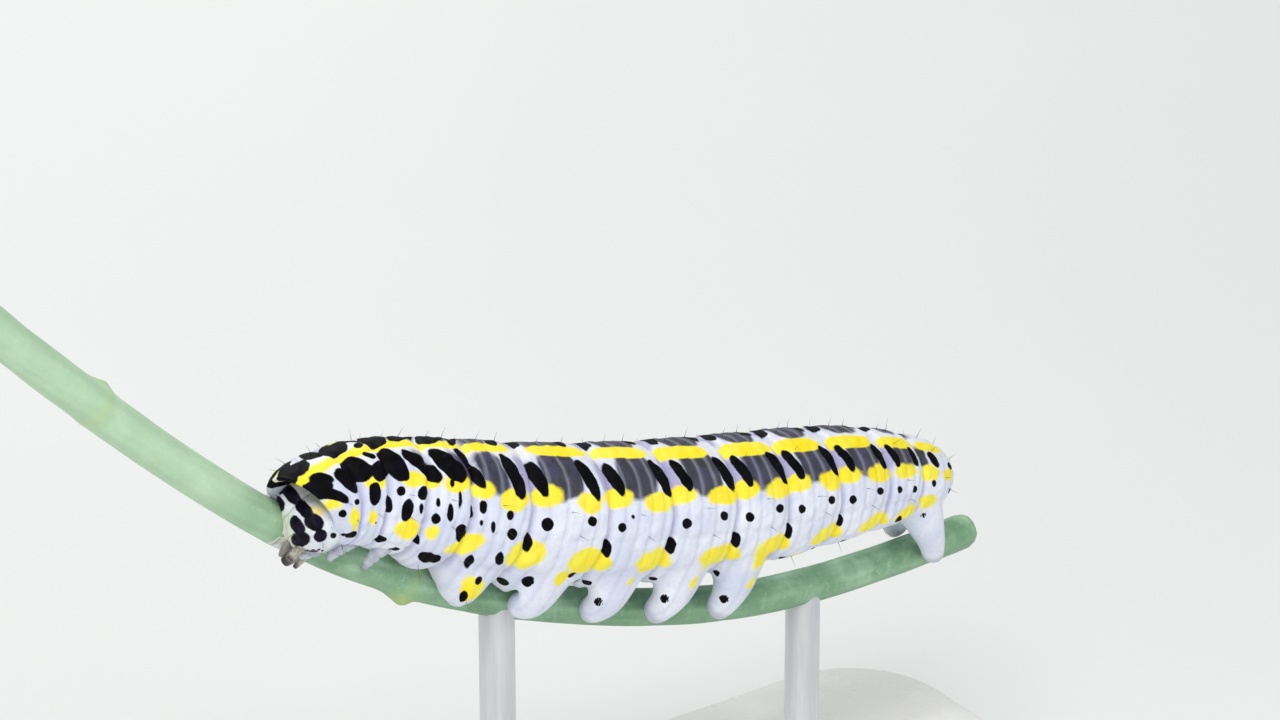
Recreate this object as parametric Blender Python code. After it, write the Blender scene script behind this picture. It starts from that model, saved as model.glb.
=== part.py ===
"""Toadflax brocade moth larva, life size, on a cut length of toadflax stem
that a plain display stand holds up.

Frame: metres, +Z up. The larva lies along X with its head towards -X and its
left side towards -Y. The origin is the centre of the stand's underside.
Sizes in the tables below are millimetres and are scaled once, by MM.
"""
import math

import bmesh
import bpy
import numpy as np
from mathutils import Matrix, Vector

for old in list(bpy.data.objects):
    bpy.data.objects.remove(old, do_unlink=True)

MM = 0.001

# ---------------------------------------------------------------- dimensions
# name, length, half width, half height above and below the middle line,
# yaw and downward pitch of the middle line (degrees), roll to the left
SEGMENTS = (
    ("thorax_1", 1.45, 1.96, 1.97, 1.66, 18.0, 3.5, 16.0),
    ("thorax_2", 1.55, 2.09, 2.14, 1.87, 8.0, 12.0, 13.5),
    ("thorax_3", 2.00, 2.28, 2.32, 2.15, -1.5, 20.0, 11.5),
    ("abdomen_1", 2.10, 2.48, 2.55, 2.56, -4.5, 23.5, 10.5),
    ("abdomen_2", 2.80, 2.66, 2.75, 2.84, -3.5, 22.0, 10.0),
    ("abdomen_3", 3.85, 2.76, 2.87, 2.94, -1.0, 17.5, 10.5),
    ("abdomen_4", 3.30, 2.80, 2.90, 2.93, 1.0, 15.0, 11.5),
    ("abdomen_5", 3.45, 2.78, 2.88, 2.88, 3.0, 13.0, 12.5),
    ("abdomen_6", 2.95, 2.73, 2.82, 2.81, 5.0, 12.0, 13.5),
    ("abdomen_7", 3.10, 2.64, 2.71, 2.66, 6.5, 11.5, 14.0),
    ("abdomen_8", 3.10, 2.46, 2.53, 2.41, 7.0, 13.0, 14.0),
    ("abdomen_9", 2.40, 2.15, 2.21, 2.05, 7.5, 15.5, 14.0),
    ("abdomen_10", 3.20, 1.66, 1.62, 1.54, 8.0, 17.5, 14.0),
)
ANCHOR = (-10.0, -1.0, 25.0)     # a point of the middle line
ANCHOR_S = 4.7                   # its distance from the front of thorax_1
HOOD = 0.75                      # how far the collar leans over the head
TURN = 0.45                      # how far its right side leads its left side
HOOD_FADE = 1.9                  # distance over which that lean dies out
SEAM = 0.10                      # cut between two segments
LOBE = (0.0, 0.0, 0.05, 0.25, 1.30, 0.85, 0.60, 0.50, 0.45, 0.10, 0.0, 0.0, 0.0)
LOBE_ANGLE = 147.0               # where the flank folds beside the stem swell
WAIST = 0.045                    # how far a segment draws in at its joints
SIDES = 24                       # facets round a segment
BANDS = 5                        # facets along a segment

# head capsule
HEAD_HALF = (1.70, 1.30, 1.46)   # half width, half depth, half height
HEAD_SHIFT = (-3.94, -0.13, 0.28)    # its middle, from ANCHOR
HEAD_YAW, HEAD_PITCH, HEAD_ROLL = 2.0, 0.0, 18.0

# stem: distance along it, yaw and downward pitch there (degrees)
STEM_BENDS = (
    (0.0, -8.6, 48.0), (8.0, -8.6, 45.5), (16.0, -7.0, 41.0), (20.0, -5.0, 36.0),
    (24.5, -3.0, 30.0), (29.0, -1.5, 24.0), (35.0, 1.0, 19.5),
    (41.0, 3.5, 14.5), (45.0, 7.0, 9.5), (50.0, 10.5, 6.5), (58.0, 13.0, 5.0),
)
STEM_AT = (0.30, 0.22, -3.78)    # its middle line at STEM_AT_S, from ANCHOR
STEM_AT_S = 24.2
STEM_LENGTH = 57.0
STEM_RADIUS = (0.85, 0.76)       # at the front end and at the rear end
STEM_SIDES = 11
STEM_NODES = ((7.4, -0.75, 0.34, 0.60), (24.6, 2.65, 0.36, 0.55))
CLEAR = 0.12                     # between the stem and what holds it

# stand
BASE = (46.0, 20.0, 3.0)
BASE_ROUND = 5.0
ROD_RADIUS = 0.75
ROD_AT = (("stand_rod_front", 29.5), ("stand_rod_rear", 46.5))


# ------------------------------------------------------------------- frames
def smooth_line(knots, values, s, width):
    """Values at knots, joined and softened over width."""
    step = 0.05
    grid = np.arange(s[0] - 6.0, s[-1] + 6.0, step)
    line = np.interp(grid, knots, values)
    reach = int(3 * width / step)
    kernel = np.exp(-0.5 * (np.arange(-reach, reach + 1) * step / width) ** 2)
    kernel /= kernel.sum()
    padded = np.pad(line, reach, mode="edge")
    return np.interp(s, grid, np.convolve(padded, kernel, mode="valid"))


def axes_of(yaw, pitch, roll):
    """Along (towards the tail), dorsal and left directions."""
    y, p, r = (math.radians(float(v)) for v in (yaw, pitch, roll))
    along = np.array([math.cos(y) * math.cos(p), math.sin(y) * math.cos(p), -math.sin(p)])
    left = np.array([math.sin(y), -math.cos(y), 0.0])
    up = np.cross(left, along)
    up = up if up[2] > 0 else -up
    dorsal = math.cos(r) * up + math.sin(r) * left
    side = -math.sin(r) * up + math.cos(r) * left
    return along, dorsal, side


class Path:
    """A line laid out by its bends, with a frame at every distance."""

    def __init__(self, length, knots, yaw, pitch, roll, start, start_s, width):
        self.s = np.arange(-1.0, length + 1.0, 0.05)
        self.yaw = smooth_line(knots, yaw, self.s, width)
        self.pitch = smooth_line(knots, pitch, self.s, width)
        self.roll = smooth_line(knots, roll, self.s, width)
        steps = np.array([axes_of(a, b, 0.0)[0] for a, b in zip(self.yaw, self.pitch)])
        line = np.vstack([np.zeros(3), np.cumsum(0.5 * (steps[1:] + steps[:-1]) * 0.05, 0)])
        here = np.array([np.interp(start_s, self.s, line[:, k]) for k in range(3)])
        self.line = line - here + np.array(start)

    def at(self, s):
        point = np.array([np.interp(s, self.s, self.line[:, k]) for k in range(3)])
        return (point,) + axes_of(
            np.interp(s, self.s, self.yaw),
            np.interp(s, self.s, self.pitch),
            np.interp(s, self.s, self.roll),
        )


LENGTHS = np.array([row[1] for row in SEGMENTS])
EDGES = np.concatenate([[0.0], np.cumsum(LENGTHS)])
MIDS = 0.5 * (EDGES[1:] + EDGES[:-1])
BODY_LENGTH = float(EDGES[-1])
body = Path(
    BODY_LENGTH, MIDS,
    [row[5] for row in SEGMENTS], [row[6] for row in SEGMENTS], [row[7] for row in SEGMENTS],
    ANCHOR, ANCHOR_S, 0.9,
)
stem = Path(
    STEM_LENGTH, [b[0] for b in STEM_BENDS], [b[1] for b in STEM_BENDS],
    [b[2] for b in STEM_BENDS], [0.0] * len(STEM_BENDS),
    np.array(ANCHOR) + np.array(STEM_AT), STEM_AT_S, 1.6,
)
FINE = np.arange(0.0, BODY_LENGTH + 0.01, 0.05)
WIDE = smooth_line(MIDS, [row[2] for row in SEGMENTS], FINE, 0.7)
HIGH = smooth_line(MIDS, [row[3] for row in SEGMENTS], FINE, 0.7)
DEEP = smooth_line(MIDS, [row[4] for row in SEGMENTS], FINE, 0.7)


def end_taper(s):
    """Rounds off the collar at the front and the anal plate at the rear."""
    front = min(1.0, s / 1.1)
    front = 0.84 + 0.16 * math.sin(0.5 * math.pi * front) ** 0.8
    back = min(1.0, (BODY_LENGTH - s) / 2.3)
    back = math.sqrt(max(0.0, 1.0 - (1.0 - back) ** 2.3))
    return front * max(back, 0.30)


def section(s, theta, grow=0.0):
    """Point on the body at distance s and angle theta from the dorsal line
    towards the left side."""
    point, along, dorsal, side = body.at(s)
    index = int(np.clip(np.searchsorted(EDGES, s, side="right") - 1, 0, len(SEGMENTS) - 1))
    u = (s - EDGES[index]) / LENGTHS[index]
    swell = (1.0 - WAIST * abs(2.0 * u - 1.0) ** 4) * end_taper(s)
    a = np.interp(s, FINE, WIDE) * swell + grow
    up = np.interp(s, FINE, HIGH) * swell + grow
    down = np.interp(s, FINE, DEEP) * swell + grow
    c, n = math.cos(theta), math.sin(theta)
    high = up * c if c >= 0 else -down * abs(c) ** 0.82
    turn = abs(math.degrees(math.atan2(n, c)))
    lobe = LOBE[index] * math.exp(-(((turn - LOBE_ANGLE) / 21.0) ** 2)) * math.sin(math.pi * min(1.0, max(0.0, u))) ** 1.3
    lean = (HOOD * c - TURN * n) * max(0.0, 1.0 - s / HOOD_FADE) ** 1.5
    return point + side * (a * n + lobe * n * 0.9) + dorsal * (high + lobe * c) - along * lean


# ------------------------------------------------------------ mesh helpers
def material(name, colour, rough=0.5, metal=0.0):
    mat = bpy.data.materials.new(name)
    mat.use_nodes = True
    shader = mat.node_tree.nodes["Principled BSDF"]
    shader.inputs["Base Color"].default_value = (*colour, 1.0)
    shader.inputs["Roughness"].default_value = rough
    shader.inputs["Metallic"].default_value = metal
    return mat


SKIN = (0.80, 0.82, 0.90)
COLOURS = {
    "head": (0.74, 0.76, 0.74), "mouth": (0.36, 0.33, 0.28), "thorax": SKIN,
    "abdomen": SKIN, "leg": (0.20, 0.19, 0.20), "proleg": (0.76, 0.78, 0.82),
    "stem": (0.42, 0.58, 0.38), "stand": (0.86, 0.86, 0.85), "rod": (0.72, 0.72, 0.73),
}


def put(name, verts, faces, colour, rough=0.5, metal=0.0, smooth=True):
    mesh = bpy.data.meshes.new(name)
    mesh.from_pydata([tuple(float(c) * MM for c in v) for v in verts], [], faces)
    build = bmesh.new()
    build.from_mesh(mesh)
    bmesh.ops.recalc_face_normals(build, faces=build.faces)
    if build.calc_volume(signed=True) < 0:
        bmesh.ops.reverse_faces(build, faces=build.faces)
    build.to_mesh(mesh)
    build.free()
    obj = bpy.data.objects.new(name, mesh)
    bpy.context.scene.collection.objects.link(obj)
    mesh.materials.append(material(name + "_finish", colour, rough, metal))
    if smooth:
        mesh.shade_smooth()
        mesh.set_sharp_from_angle(angle=math.radians(40))
    return obj


def loft(rings, close=True):
    """Vertices and faces of a closed tube through rings of equal size."""
    count = len(rings[0])
    verts = [p for ring in rings for p in ring]
    faces = []
    for i in range(len(rings) - 1):
        for j in range(count):
            k = (j + 1) % count
            faces.append((i * count + j, i * count + k, (i + 1) * count + k, (i + 1) * count + j))
    if close:
        faces.append(tuple(reversed(range(count))))
        faces.append(tuple((len(rings) - 1) * count + j for j in range(count)))
    return verts, faces


def loft_fanned(rings):
    """The same with each end closed by a fan, for rings that are not flat."""
    verts, faces = loft(rings, False)
    count = len(rings[0])
    for ring, first in ((rings[0], 0), (rings[-1], (len(rings) - 1) * count)):
        verts.append(np.mean(np.array(ring), axis=0))
        for j in range(count):
            pair = (first + j, first + (j + 1) % count)
            faces.append((pair if first else pair[::-1]) + (len(verts) - 1,))
    return verts, faces


def cutter(name, verts, faces):
    obj = put(name, verts, faces, (0.9, 0.2, 0.2))
    obj.hide_render = True
    obj.display_type = "WIRE"
    return obj


def carve(obj, *tools):
    for tool in tools:
        cut = obj.modifiers.new("cut_" + tool.name, "BOOLEAN")
        cut.operation = "DIFFERENCE"
        cut.solver = "EXACT"
        cut.object = tool


# ------------------------------------------------------------------- trunk
ANGLES = [2.0 * math.pi * (j + 0.5) / SIDES for j in range(SIDES)]
for index, row in enumerate(SEGMENTS):
    first = EDGES[index] + (0.5 * SEAM if index else 0.0)
    last = EDGES[index + 1] - (0.5 * SEAM if index < len(SEGMENTS) - 1 else 0.0)
    bands = BANDS + (2 if index == len(SEGMENTS) - 1 else 0)
    rings = []
    for k in range(bands + 1):
        u = k / bands
        if index == len(SEGMENTS) - 1:
            u = 1.0 - (1.0 - u) ** 1.7
        if index == 0:
            u = u ** 1.3
        s = first + (last - first) * u
        rings.append([section(min(s, BODY_LENGTH - 1e-3), t) for t in ANGLES])
    kind = row[0].split("_")[0]
    put(row[0], *loft_fanned(rings), COLOURS[kind], 0.45)

# the whole trunk, a little larger, which trims what grows out of it
envelope = [
    [section(s, t, 0.08) for t in ANGLES]
    for s in np.concatenate([[0.0], np.arange(0.35, BODY_LENGTH - 0.3, 0.65), [BODY_LENGTH - 0.02]])
]
trunk_cut = cutter("trunk_cut", *loft_fanned(envelope))


# -------------------------------------------------------------------- stem
def stem_radius(s):
    return STEM_RADIUS[0] + (STEM_RADIUS[1] - STEM_RADIUS[0]) * s / STEM_LENGTH


def stem_ring(s, grow=0.0, bumps=True, sides=STEM_SIDES):
    point, along, dorsal, side = stem.at(s)
    ring = []
    for j in range(sides):
        t = 2.0 * math.pi * j / sides
        radius = stem_radius(s) * (1.0 + 0.012 * math.cos(5.0 * t + 0.2 * s)) + grow
        if bumps:
            for place, angle, height, width in STEM_NODES:
                turn = math.cos(t - angle)
                radius += height * math.exp(-((s - place) / width) ** 2) * max(0.0, turn) ** 6
        ring.append(point + radius * (math.cos(t) * dorsal + math.sin(t) * side))
    return ring


stations = list(np.arange(0.0, STEM_LENGTH, 1.9)) + [STEM_LENGTH]
for place, _, _, width in STEM_NODES:
    stations += [place - width, place - 0.45 * width, place, place + 0.45 * width, place + width]
stations = sorted(set(round(float(s), 3) for s in stations))
stations = [s for i, s in enumerate(stations) if i == 0 or s - stations[i - 1] > 0.12]
put("perch_stem", *loft([stem_ring(s) for s in stations]), COLOURS["stem"], 0.6)
stem_cut = cutter(
    "stem_cut",
    *loft([stem_ring(s, CLEAR, False) for s in np.arange(0.4, STEM_LENGTH - 0.4, 0.9)]),
)

for row in SEGMENTS[1:9]:
    carve(bpy.data.objects[row[0]], stem_cut)

# -------------------------------------------------------------------- head
head_along, head_up, head_left = axes_of(HEAD_YAW, HEAD_PITCH, HEAD_ROLL)
HEAD_AT = np.array(ANCHOR) + np.array(HEAD_SHIFT)


def head_point(lon, lat, grow=0.0):
    """lon 0 is the face, +90 degrees the left side; lat 90 the crown."""
    d = (
        math.sin(lon) * math.cos(lat),
        math.cos(lon) * math.cos(lat),
        math.sin(lat),
    )
    low = max(0.0, -d[2])
    crown = max(0.0, d[2])
    x = d[0] * (HEAD_HALF[0] * (1.0 - 0.20 * low ** 1.5) + grow)
    rear = max(0.0, -d[1])
    y = d[1] * (HEAD_HALF[1] * (1.0 + 0.08 * low + 0.30 * rear) + grow)
    z = d[2] * (HEAD_HALF[2] + grow)
    cleft = math.exp(-((d[0] / 0.20) ** 2))
    shrink = 1.0 - 0.13 * cleft * crown - 0.05 * cleft * max(0.0, d[1]) * (1.0 - crown)
    shrink *= 1.0 - 0.30 * rear * low
    shrink *= 1.0 + 0.05 * math.exp(-(((abs(d[0]) - 0.55) / 0.28) ** 2)) * (crown + 0.5 * max(0.0, d[1]))
    return HEAD_AT + shrink * (head_left * x - head_along * y + head_up * z)


def head_ball(grow, around=28, rows=13):
    verts = [head_point(0.0, -0.5 * math.pi, grow)]
    for i in range(1, rows):
        lat = -0.5 * math.pi + math.pi * i / rows
        verts += [head_point(2.0 * math.pi * j / around, lat, grow) for j in range(around)]
    verts.append(head_point(0.0, 0.5 * math.pi, grow))
    faces = []
    for j in range(around):
        k = (j + 1) % around
        faces.append((0, 1 + k, 1 + j))
        for i in range(rows - 2):
            a, b = 1 + i * around, 1 + (i + 1) * around
            faces.append((a + j, a + k, b + k, b + j))
        last = 1 + (rows - 2) * around
        faces.append((last + j, last + k, len(verts) - 1))
    return verts, faces


head = put("head", *head_ball(0.0), COLOURS["head"], 0.35)
head_cut = cutter("head_cut", *head_ball(0.06))
carve(head, stem_cut)
carve(bpy.data.objects["thorax_1"], head_cut, stem_cut)
carve(bpy.data.objects["thorax_2"], head_cut)


def head_frame(x, y, z):
    """Left, forward and up from the middle of the head."""
    return HEAD_AT + head_left * x - head_along * y + head_up * z


def limb(points, radii, sides=10, per=3, flat=1.0):
    """A tapering tube through control points, softened into a curve."""
    pts = [np.array(p, float) for p in points]
    count = per * (len(pts) - 1) + 1
    knots = np.linspace(0.0, 1.0, len(pts))
    rings = []
    old = None

    def curve(t):
        level = list(pts)
        while len(level) > 1:
            level = [(1.0 - t) * a + t * b for a, b in zip(level[:-1], level[1:])]
        return level[0]

    for i in range(count):
        t = i / (count - 1)
        centre = curve(t)
        way = curve(min(1.0, t + 0.02)) - curve(max(0.0, t - 0.02))
        way /= np.linalg.norm(way)
        if old is None:
            old = np.cross(way, np.array([0.31, 0.17, 0.93]))
        one = old - way * np.dot(old, way)
        one /= np.linalg.norm(one)
        two = np.cross(way, one)
        old = one
        radius = np.interp(t, knots, radii)
        rings.append([
            centre + radius * (math.cos(a) * one + flat * math.sin(a) * two)
            for a in (2.0 * math.pi * j / sides for j in range(sides))
        ])
    return loft(rings)


# mouthparts and feelers, which stand clear of the capsule they grow from
FEELERS = {
    "left": ((0.84, 0.60, -0.46), (1.02, 1.10, -0.62), (1.04, 1.48, -0.94)),
    "right": ((-1.35, 0.50, -0.30), (-1.85, 0.85, -0.30), (-2.05, 1.25, -0.45)),
}
JAWS = {
    "left": ((0.42, 0.45, -0.85), (0.52, 0.82, -1.38), (0.34, 1.10, -1.80)),
    "right": ((-1.05, 0.35, -0.70), (-1.75, 0.65, -1.20), (-1.55, 1.05, -1.75)),
}
for name in ("left", "right"):
    antenna = put(
        "antenna_" + name,
        *limb([head_frame(*p) for p in FEELERS[name]], [0.32, 0.29, 0.27], 8, 2),
        COLOURS["mouth"], 0.4,
    )
    carve(antenna, head_cut, stem_cut)
    jaw = put(
        "mandible_" + name,
        *limb([head_frame(*p) for p in JAWS[name]], [0.46, 0.40, 0.27], 10, 2),
        COLOURS["mouth"], 0.4,
    )
    carve(jaw, head_cut, stem_cut)


# -------------------------------------------------------------------- legs
def nearest_on_stem(point):
    spots = np.arange(1.0, STEM_LENGTH - 1.0, 0.1)
    line = np.array([[np.interp(s, stem.s, stem.line[:, k]) for k in range(3)] for s in spots])
    return float(spots[np.argmin(np.linalg.norm(line - point, axis=1))])


def below(s):
    """Where the stem passes the trunk at s: its nearest point, its direction,
    and the angle of that point round the trunk from the dorsal line."""
    middle, _, dorsal, side = body.at(s)
    place = nearest_on_stem(middle)
    point, along, _, _ = stem.at(place)
    away = point - middle
    return place, point, along, middle, math.atan2(float(np.dot(away, side)), float(np.dot(away, dorsal)))


def grip(s, sign, turn, stand_off):
    """A point beside the stem: turn is measured from the direction of the
    trunk round towards the side that sign names."""
    place, point, along, middle, _ = below(s)
    up = middle - point
    up -= along * np.dot(up, along)
    up /= np.linalg.norm(up)
    left = np.cross(along, up)
    if np.dot(left, body.at(s)[3]) < 0:
        left = -left
    t = math.radians(turn)
    return point + (stem_radius(place) + stand_off) * (math.cos(t) * up + sign * math.sin(t) * left), up, left


def flank(s, sign, spread, grow):
    """A point of the trunk's underside, spread degrees off the stem."""
    return section(s, below(s)[4] - sign * math.radians(spread), grow)


def station(index, u):
    return float(EDGES[index] + LENGTHS[index] * u)


for index, lean in ((0, -0.1), (1, 0.0), (2, 0.1)):
    for name, sign in (("left", 1.0), ("right", -1.0)):
        s = station(index, (0.88, 0.66, 0.62)[index])
        if sign > 0:
            turn = (96.0, 88.0, 84.0)[index]
            root = flank(s, sign, (54.0, 46.0, 44.0)[index], -0.30)
            knee, _, left = grip(s, sign, turn - 24.0, 0.86)
            tip, _, _ = grip(s + (0.14, 0.25, 0.15)[index], sign, turn, 0.42)
        else:
            turn = (112.0, 92.0, 88.0)[index]
            root = flank(s, sign, (58.0, 46.0, 44.0)[index], -0.30)
            knee, _, left = grip(s, sign, turn - 26.0, 1.00)
            tip, _, _ = grip(s + (0.15, -0.2, -0.2)[index], sign, turn, 0.38)
        leg = put(
            "leg_%s_%d" % (name, index + 1),
            *limb([root, knee + sign * 0.15 * left, tip], [0.42, 0.34, 0.28], 8, 3),
            COLOURS["leg"], 0.35,
        )
        carve(leg, trunk_cut, stem_cut)
        if index < 2:
            carve(leg, head_cut)

for index in (5, 6, 7, 8):
    for name, sign in (("left", 1.0), ("right", -1.0)):
        s = station(index, 0.52)
        root = flank(s, sign, 36.0, -0.60)
        tip, up, left = grip(s, sign, 74.0, 0.44)
        middle = 0.5 * (flank(s, sign, 34.0, 0.30) + tip) + sign * left * 0.22
        proleg = put(
            "proleg_%s_%d" % (name, index - 2),
            *limb([root, middle, tip], [1.05, 0.80, 0.60], 11, 3),
            COLOURS["proleg"], 0.5,
        )
        carve(proleg, trunk_cut, stem_cut)

for name, sign in (("left", 1.0), ("right", -1.0)):
    s = station(12, 0.40)
    root = flank(s, sign, 38.0, -0.50)
    tip, up, left = grip(station(12, 0.80), sign, 70.0, 0.44)
    middle = 0.5 * (flank(station(12, 0.6), sign, 34.0, 0.30) + tip) + sign * left * 0.30
    clasper = put(
        "anal_proleg_" + name,
        *limb([root, middle, tip], [0.84, 0.68, 0.54], 11, 3),
        COLOURS["proleg"], 0.5,
    )
    carve(clasper, trunk_cut, stem_cut)


# ------------------------------------------------------------------- stand
def slab(size, corner, chamfer):
    """A rounded rectangle with a chamfered upper edge, standing on Z = 0."""
    rings = []
    for inset, z in ((0.0, 0.0), (0.0, size[2] - chamfer), (0.35 * chamfer, size[2] - 0.3 * chamfer), (chamfer, size[2])):
        ring = []
        for q in range(4):
            cx = (0.5 * size[0] - corner) * (1, -1, -1, 1)[q]
            cy = (0.5 * size[1] - corner) * (1, 1, -1, -1)[q]
            for k in range(6):
                t = 0.5 * math.pi * (q + k / 5.0)
                ring.append(np.array([
                    cx + (corner - inset) * math.cos(t), cy + (corner - inset) * math.sin(t), z,
                ]))
        rings.append(ring)
    return loft(rings)


put("stand_base", *slab(BASE, BASE_ROUND, 0.6), COLOURS["stand"], 0.4)
for name, place in ROD_AT:
    top = stem.at(place)[0]
    ring = lambda z, r: [
        np.array([top[0] + r * math.cos(2.0 * math.pi * j / 20), top[1] + r * math.sin(2.0 * math.pi * j / 20), z])
        for j in range(20)
    ]
    low = BASE[2] + 0.1
    rod = put(
        name,
        *loft([
            ring(low, ROD_RADIUS + 0.55), ring(low + 0.5, ROD_RADIUS + 0.55), ring(low + 0.95, ROD_RADIUS),
            ring(float(top[2]) - 1.6, ROD_RADIUS), ring(float(top[2]) - 0.15, ROD_RADIUS),
        ]),
        COLOURS["rod"], 0.35,
    )
    carve(rod, stem_cut)
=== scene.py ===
"""Looks of the toadflax brocade moth larva on its cut stem and display stand.

Sizes in the tables are millimetres in the row frame and are scaled once, by
MM. The larva's surface is laid out by s, the distance from the front edge of
thorax_1 along its middle line, and theta, the angle round it from the dorsal
line towards its left side.
"""
import math

import bmesh
import bpy
import numpy as np
from mathutils import Matrix, Vector


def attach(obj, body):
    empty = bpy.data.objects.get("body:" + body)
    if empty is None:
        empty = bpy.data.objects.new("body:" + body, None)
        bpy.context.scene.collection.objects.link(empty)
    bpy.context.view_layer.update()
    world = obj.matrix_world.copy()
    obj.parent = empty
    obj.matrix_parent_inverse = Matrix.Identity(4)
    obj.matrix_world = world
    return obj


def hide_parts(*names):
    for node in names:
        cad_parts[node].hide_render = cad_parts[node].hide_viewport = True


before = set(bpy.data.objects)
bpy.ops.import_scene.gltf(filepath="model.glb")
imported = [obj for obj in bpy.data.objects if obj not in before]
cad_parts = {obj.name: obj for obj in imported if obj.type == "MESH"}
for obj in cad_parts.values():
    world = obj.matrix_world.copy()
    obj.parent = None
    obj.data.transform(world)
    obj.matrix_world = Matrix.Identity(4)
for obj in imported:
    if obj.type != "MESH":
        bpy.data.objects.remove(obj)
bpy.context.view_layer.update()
MM = 0.001
RNG = np.random.default_rng(7)

# ------------------------------------------------- layout, as in the solids
SEGMENTS = (
    ("thorax_1", 1.45, 1.96, 1.97, 1.66, 18.0, 3.5, 16.0),
    ("thorax_2", 1.55, 2.09, 2.14, 1.87, 8.0, 12.0, 13.5),
    ("thorax_3", 2.00, 2.28, 2.32, 2.15, -1.5, 20.0, 11.5),
    ("abdomen_1", 2.10, 2.48, 2.55, 2.56, -4.5, 23.5, 10.5),
    ("abdomen_2", 2.80, 2.66, 2.75, 2.84, -3.5, 22.0, 10.0),
    ("abdomen_3", 3.85, 2.76, 2.87, 2.94, -1.0, 17.5, 10.5),
    ("abdomen_4", 3.30, 2.80, 2.90, 2.93, 1.0, 15.0, 11.5),
    ("abdomen_5", 3.45, 2.78, 2.88, 2.88, 3.0, 13.0, 12.5),
    ("abdomen_6", 2.95, 2.73, 2.82, 2.81, 5.0, 12.0, 13.5),
    ("abdomen_7", 3.10, 2.64, 2.71, 2.66, 6.5, 11.5, 14.0),
    ("abdomen_8", 3.10, 2.46, 2.53, 2.41, 7.0, 13.0, 14.0),
    ("abdomen_9", 2.40, 2.15, 2.21, 2.05, 7.5, 15.5, 14.0),
    ("abdomen_10", 3.20, 1.66, 1.62, 1.54, 8.0, 17.5, 14.0),
)
ANCHOR = (-10.0, -1.0, 25.0)
ANCHOR_S = 4.7
HOOD, TURN, HOOD_FADE = 0.75, 0.45, 1.9
LOBE = np.array((0.0, 0.0, 0.05, 0.25, 1.30, 0.85, 0.60, 0.50, 0.45, 0.10, 0.0, 0.0, 0.0))
LOBE_ANGLE = 147.0
WAIST = 0.045
HEAD_HALF = (1.70, 1.30, 1.46)
HEAD_SHIFT = (-3.94, -0.13, 0.28)
HEAD_YAW, HEAD_PITCH, HEAD_ROLL = 2.0, 0.0, 18.0
STEM_BENDS = (
    (0.0, -8.6, 48.0), (8.0, -8.6, 45.5), (16.0, -7.0, 41.0), (20.0, -5.0, 36.0),
    (24.5, -3.0, 30.0), (29.0, -1.5, 24.0), (35.0, 1.0, 19.5),
    (41.0, 3.5, 14.5), (45.0, 7.0, 9.5), (50.0, 10.5, 6.5), (58.0, 13.0, 5.0),
)
STEM_AT = (0.30, 0.22, -3.78)
STEM_AT_S = 24.2
STEM_LENGTH = 57.0
STEM_RADIUS = (0.85, 0.76)
STEM_NODES = ((7.4, -0.75, 0.34, 0.60), (24.6, 2.65, 0.36, 0.55))
BASE = (46.0, 20.0, 3.0)
BASE_ROUND = 5.0
ROD_RADIUS = 0.75
ROD_AT = (("stand_rod_front", 29.5), ("stand_rod_rear", 46.5))


def smooth_line(knots, values, s, width):
    step = 0.05
    grid = np.arange(s[0] - 6.0, s[-1] + 6.0, step)
    line = np.interp(grid, knots, values)
    reach = int(3 * width / step)
    kernel = np.exp(-0.5 * (np.arange(-reach, reach + 1) * step / width) ** 2)
    kernel /= kernel.sum()
    padded = np.pad(line, reach, mode="edge")
    return np.interp(s, grid, np.convolve(padded, kernel, mode="valid"))


def axes_of(yaw, pitch, roll):
    y, p, r = (np.radians(np.asarray(v, float)) for v in (yaw, pitch, roll))
    along = np.stack([np.cos(y) * np.cos(p), np.sin(y) * np.cos(p), -np.sin(p)], -1)
    left = np.stack([np.sin(y), -np.cos(y), 0.0 * y], -1)
    up = np.cross(left, along)
    up = np.where(up[..., 2:3] > 0, up, -up)
    c, n = np.cos(r)[..., None], np.sin(r)[..., None]
    return along, c * up + n * left, -n * up + c * left


class Path:
    def __init__(self, length, knots, yaw, pitch, roll, start, start_s, width):
        self.s = np.arange(-1.0, length + 1.0, 0.05)
        self.yaw = smooth_line(knots, yaw, self.s, width)
        self.pitch = smooth_line(knots, pitch, self.s, width)
        self.roll = smooth_line(knots, roll, self.s, width)
        steps = axes_of(self.yaw, self.pitch, 0.0 * self.yaw)[0]
        line = np.vstack([np.zeros(3), np.cumsum(0.5 * (steps[1:] + steps[:-1]) * 0.05, 0)])
        here = np.array([np.interp(start_s, self.s, line[:, k]) for k in range(3)])
        self.line = line - here + np.array(start)

    def at(self, s):
        point = np.stack([np.interp(s, self.s, self.line[:, k]) for k in range(3)], -1)
        return (point,) + axes_of(
            np.interp(s, self.s, self.yaw), np.interp(s, self.s, self.pitch), np.interp(s, self.s, self.roll),
        )


LENGTHS = np.array([row[1] for row in SEGMENTS])
EDGES = np.concatenate([[0.0], np.cumsum(LENGTHS)])
MIDS = 0.5 * (EDGES[1:] + EDGES[:-1])
BODY_LENGTH = float(EDGES[-1])
body = Path(
    BODY_LENGTH, MIDS, [r[5] for r in SEGMENTS], [r[6] for r in SEGMENTS], [r[7] for r in SEGMENTS],
    ANCHOR, ANCHOR_S, 0.9,
)
stem = Path(
    STEM_LENGTH, [b[0] for b in STEM_BENDS], [b[1] for b in STEM_BENDS], [b[2] for b in STEM_BENDS],
    [0.0] * len(STEM_BENDS), np.array(ANCHOR) + np.array(STEM_AT), STEM_AT_S, 1.6,
)
FINE = np.arange(0.0, BODY_LENGTH + 0.01, 0.05)
WIDE = smooth_line(MIDS, [r[2] for r in SEGMENTS], FINE, 0.7)
HIGH = smooth_line(MIDS, [r[3] for r in SEGMENTS], FINE, 0.7)
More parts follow.
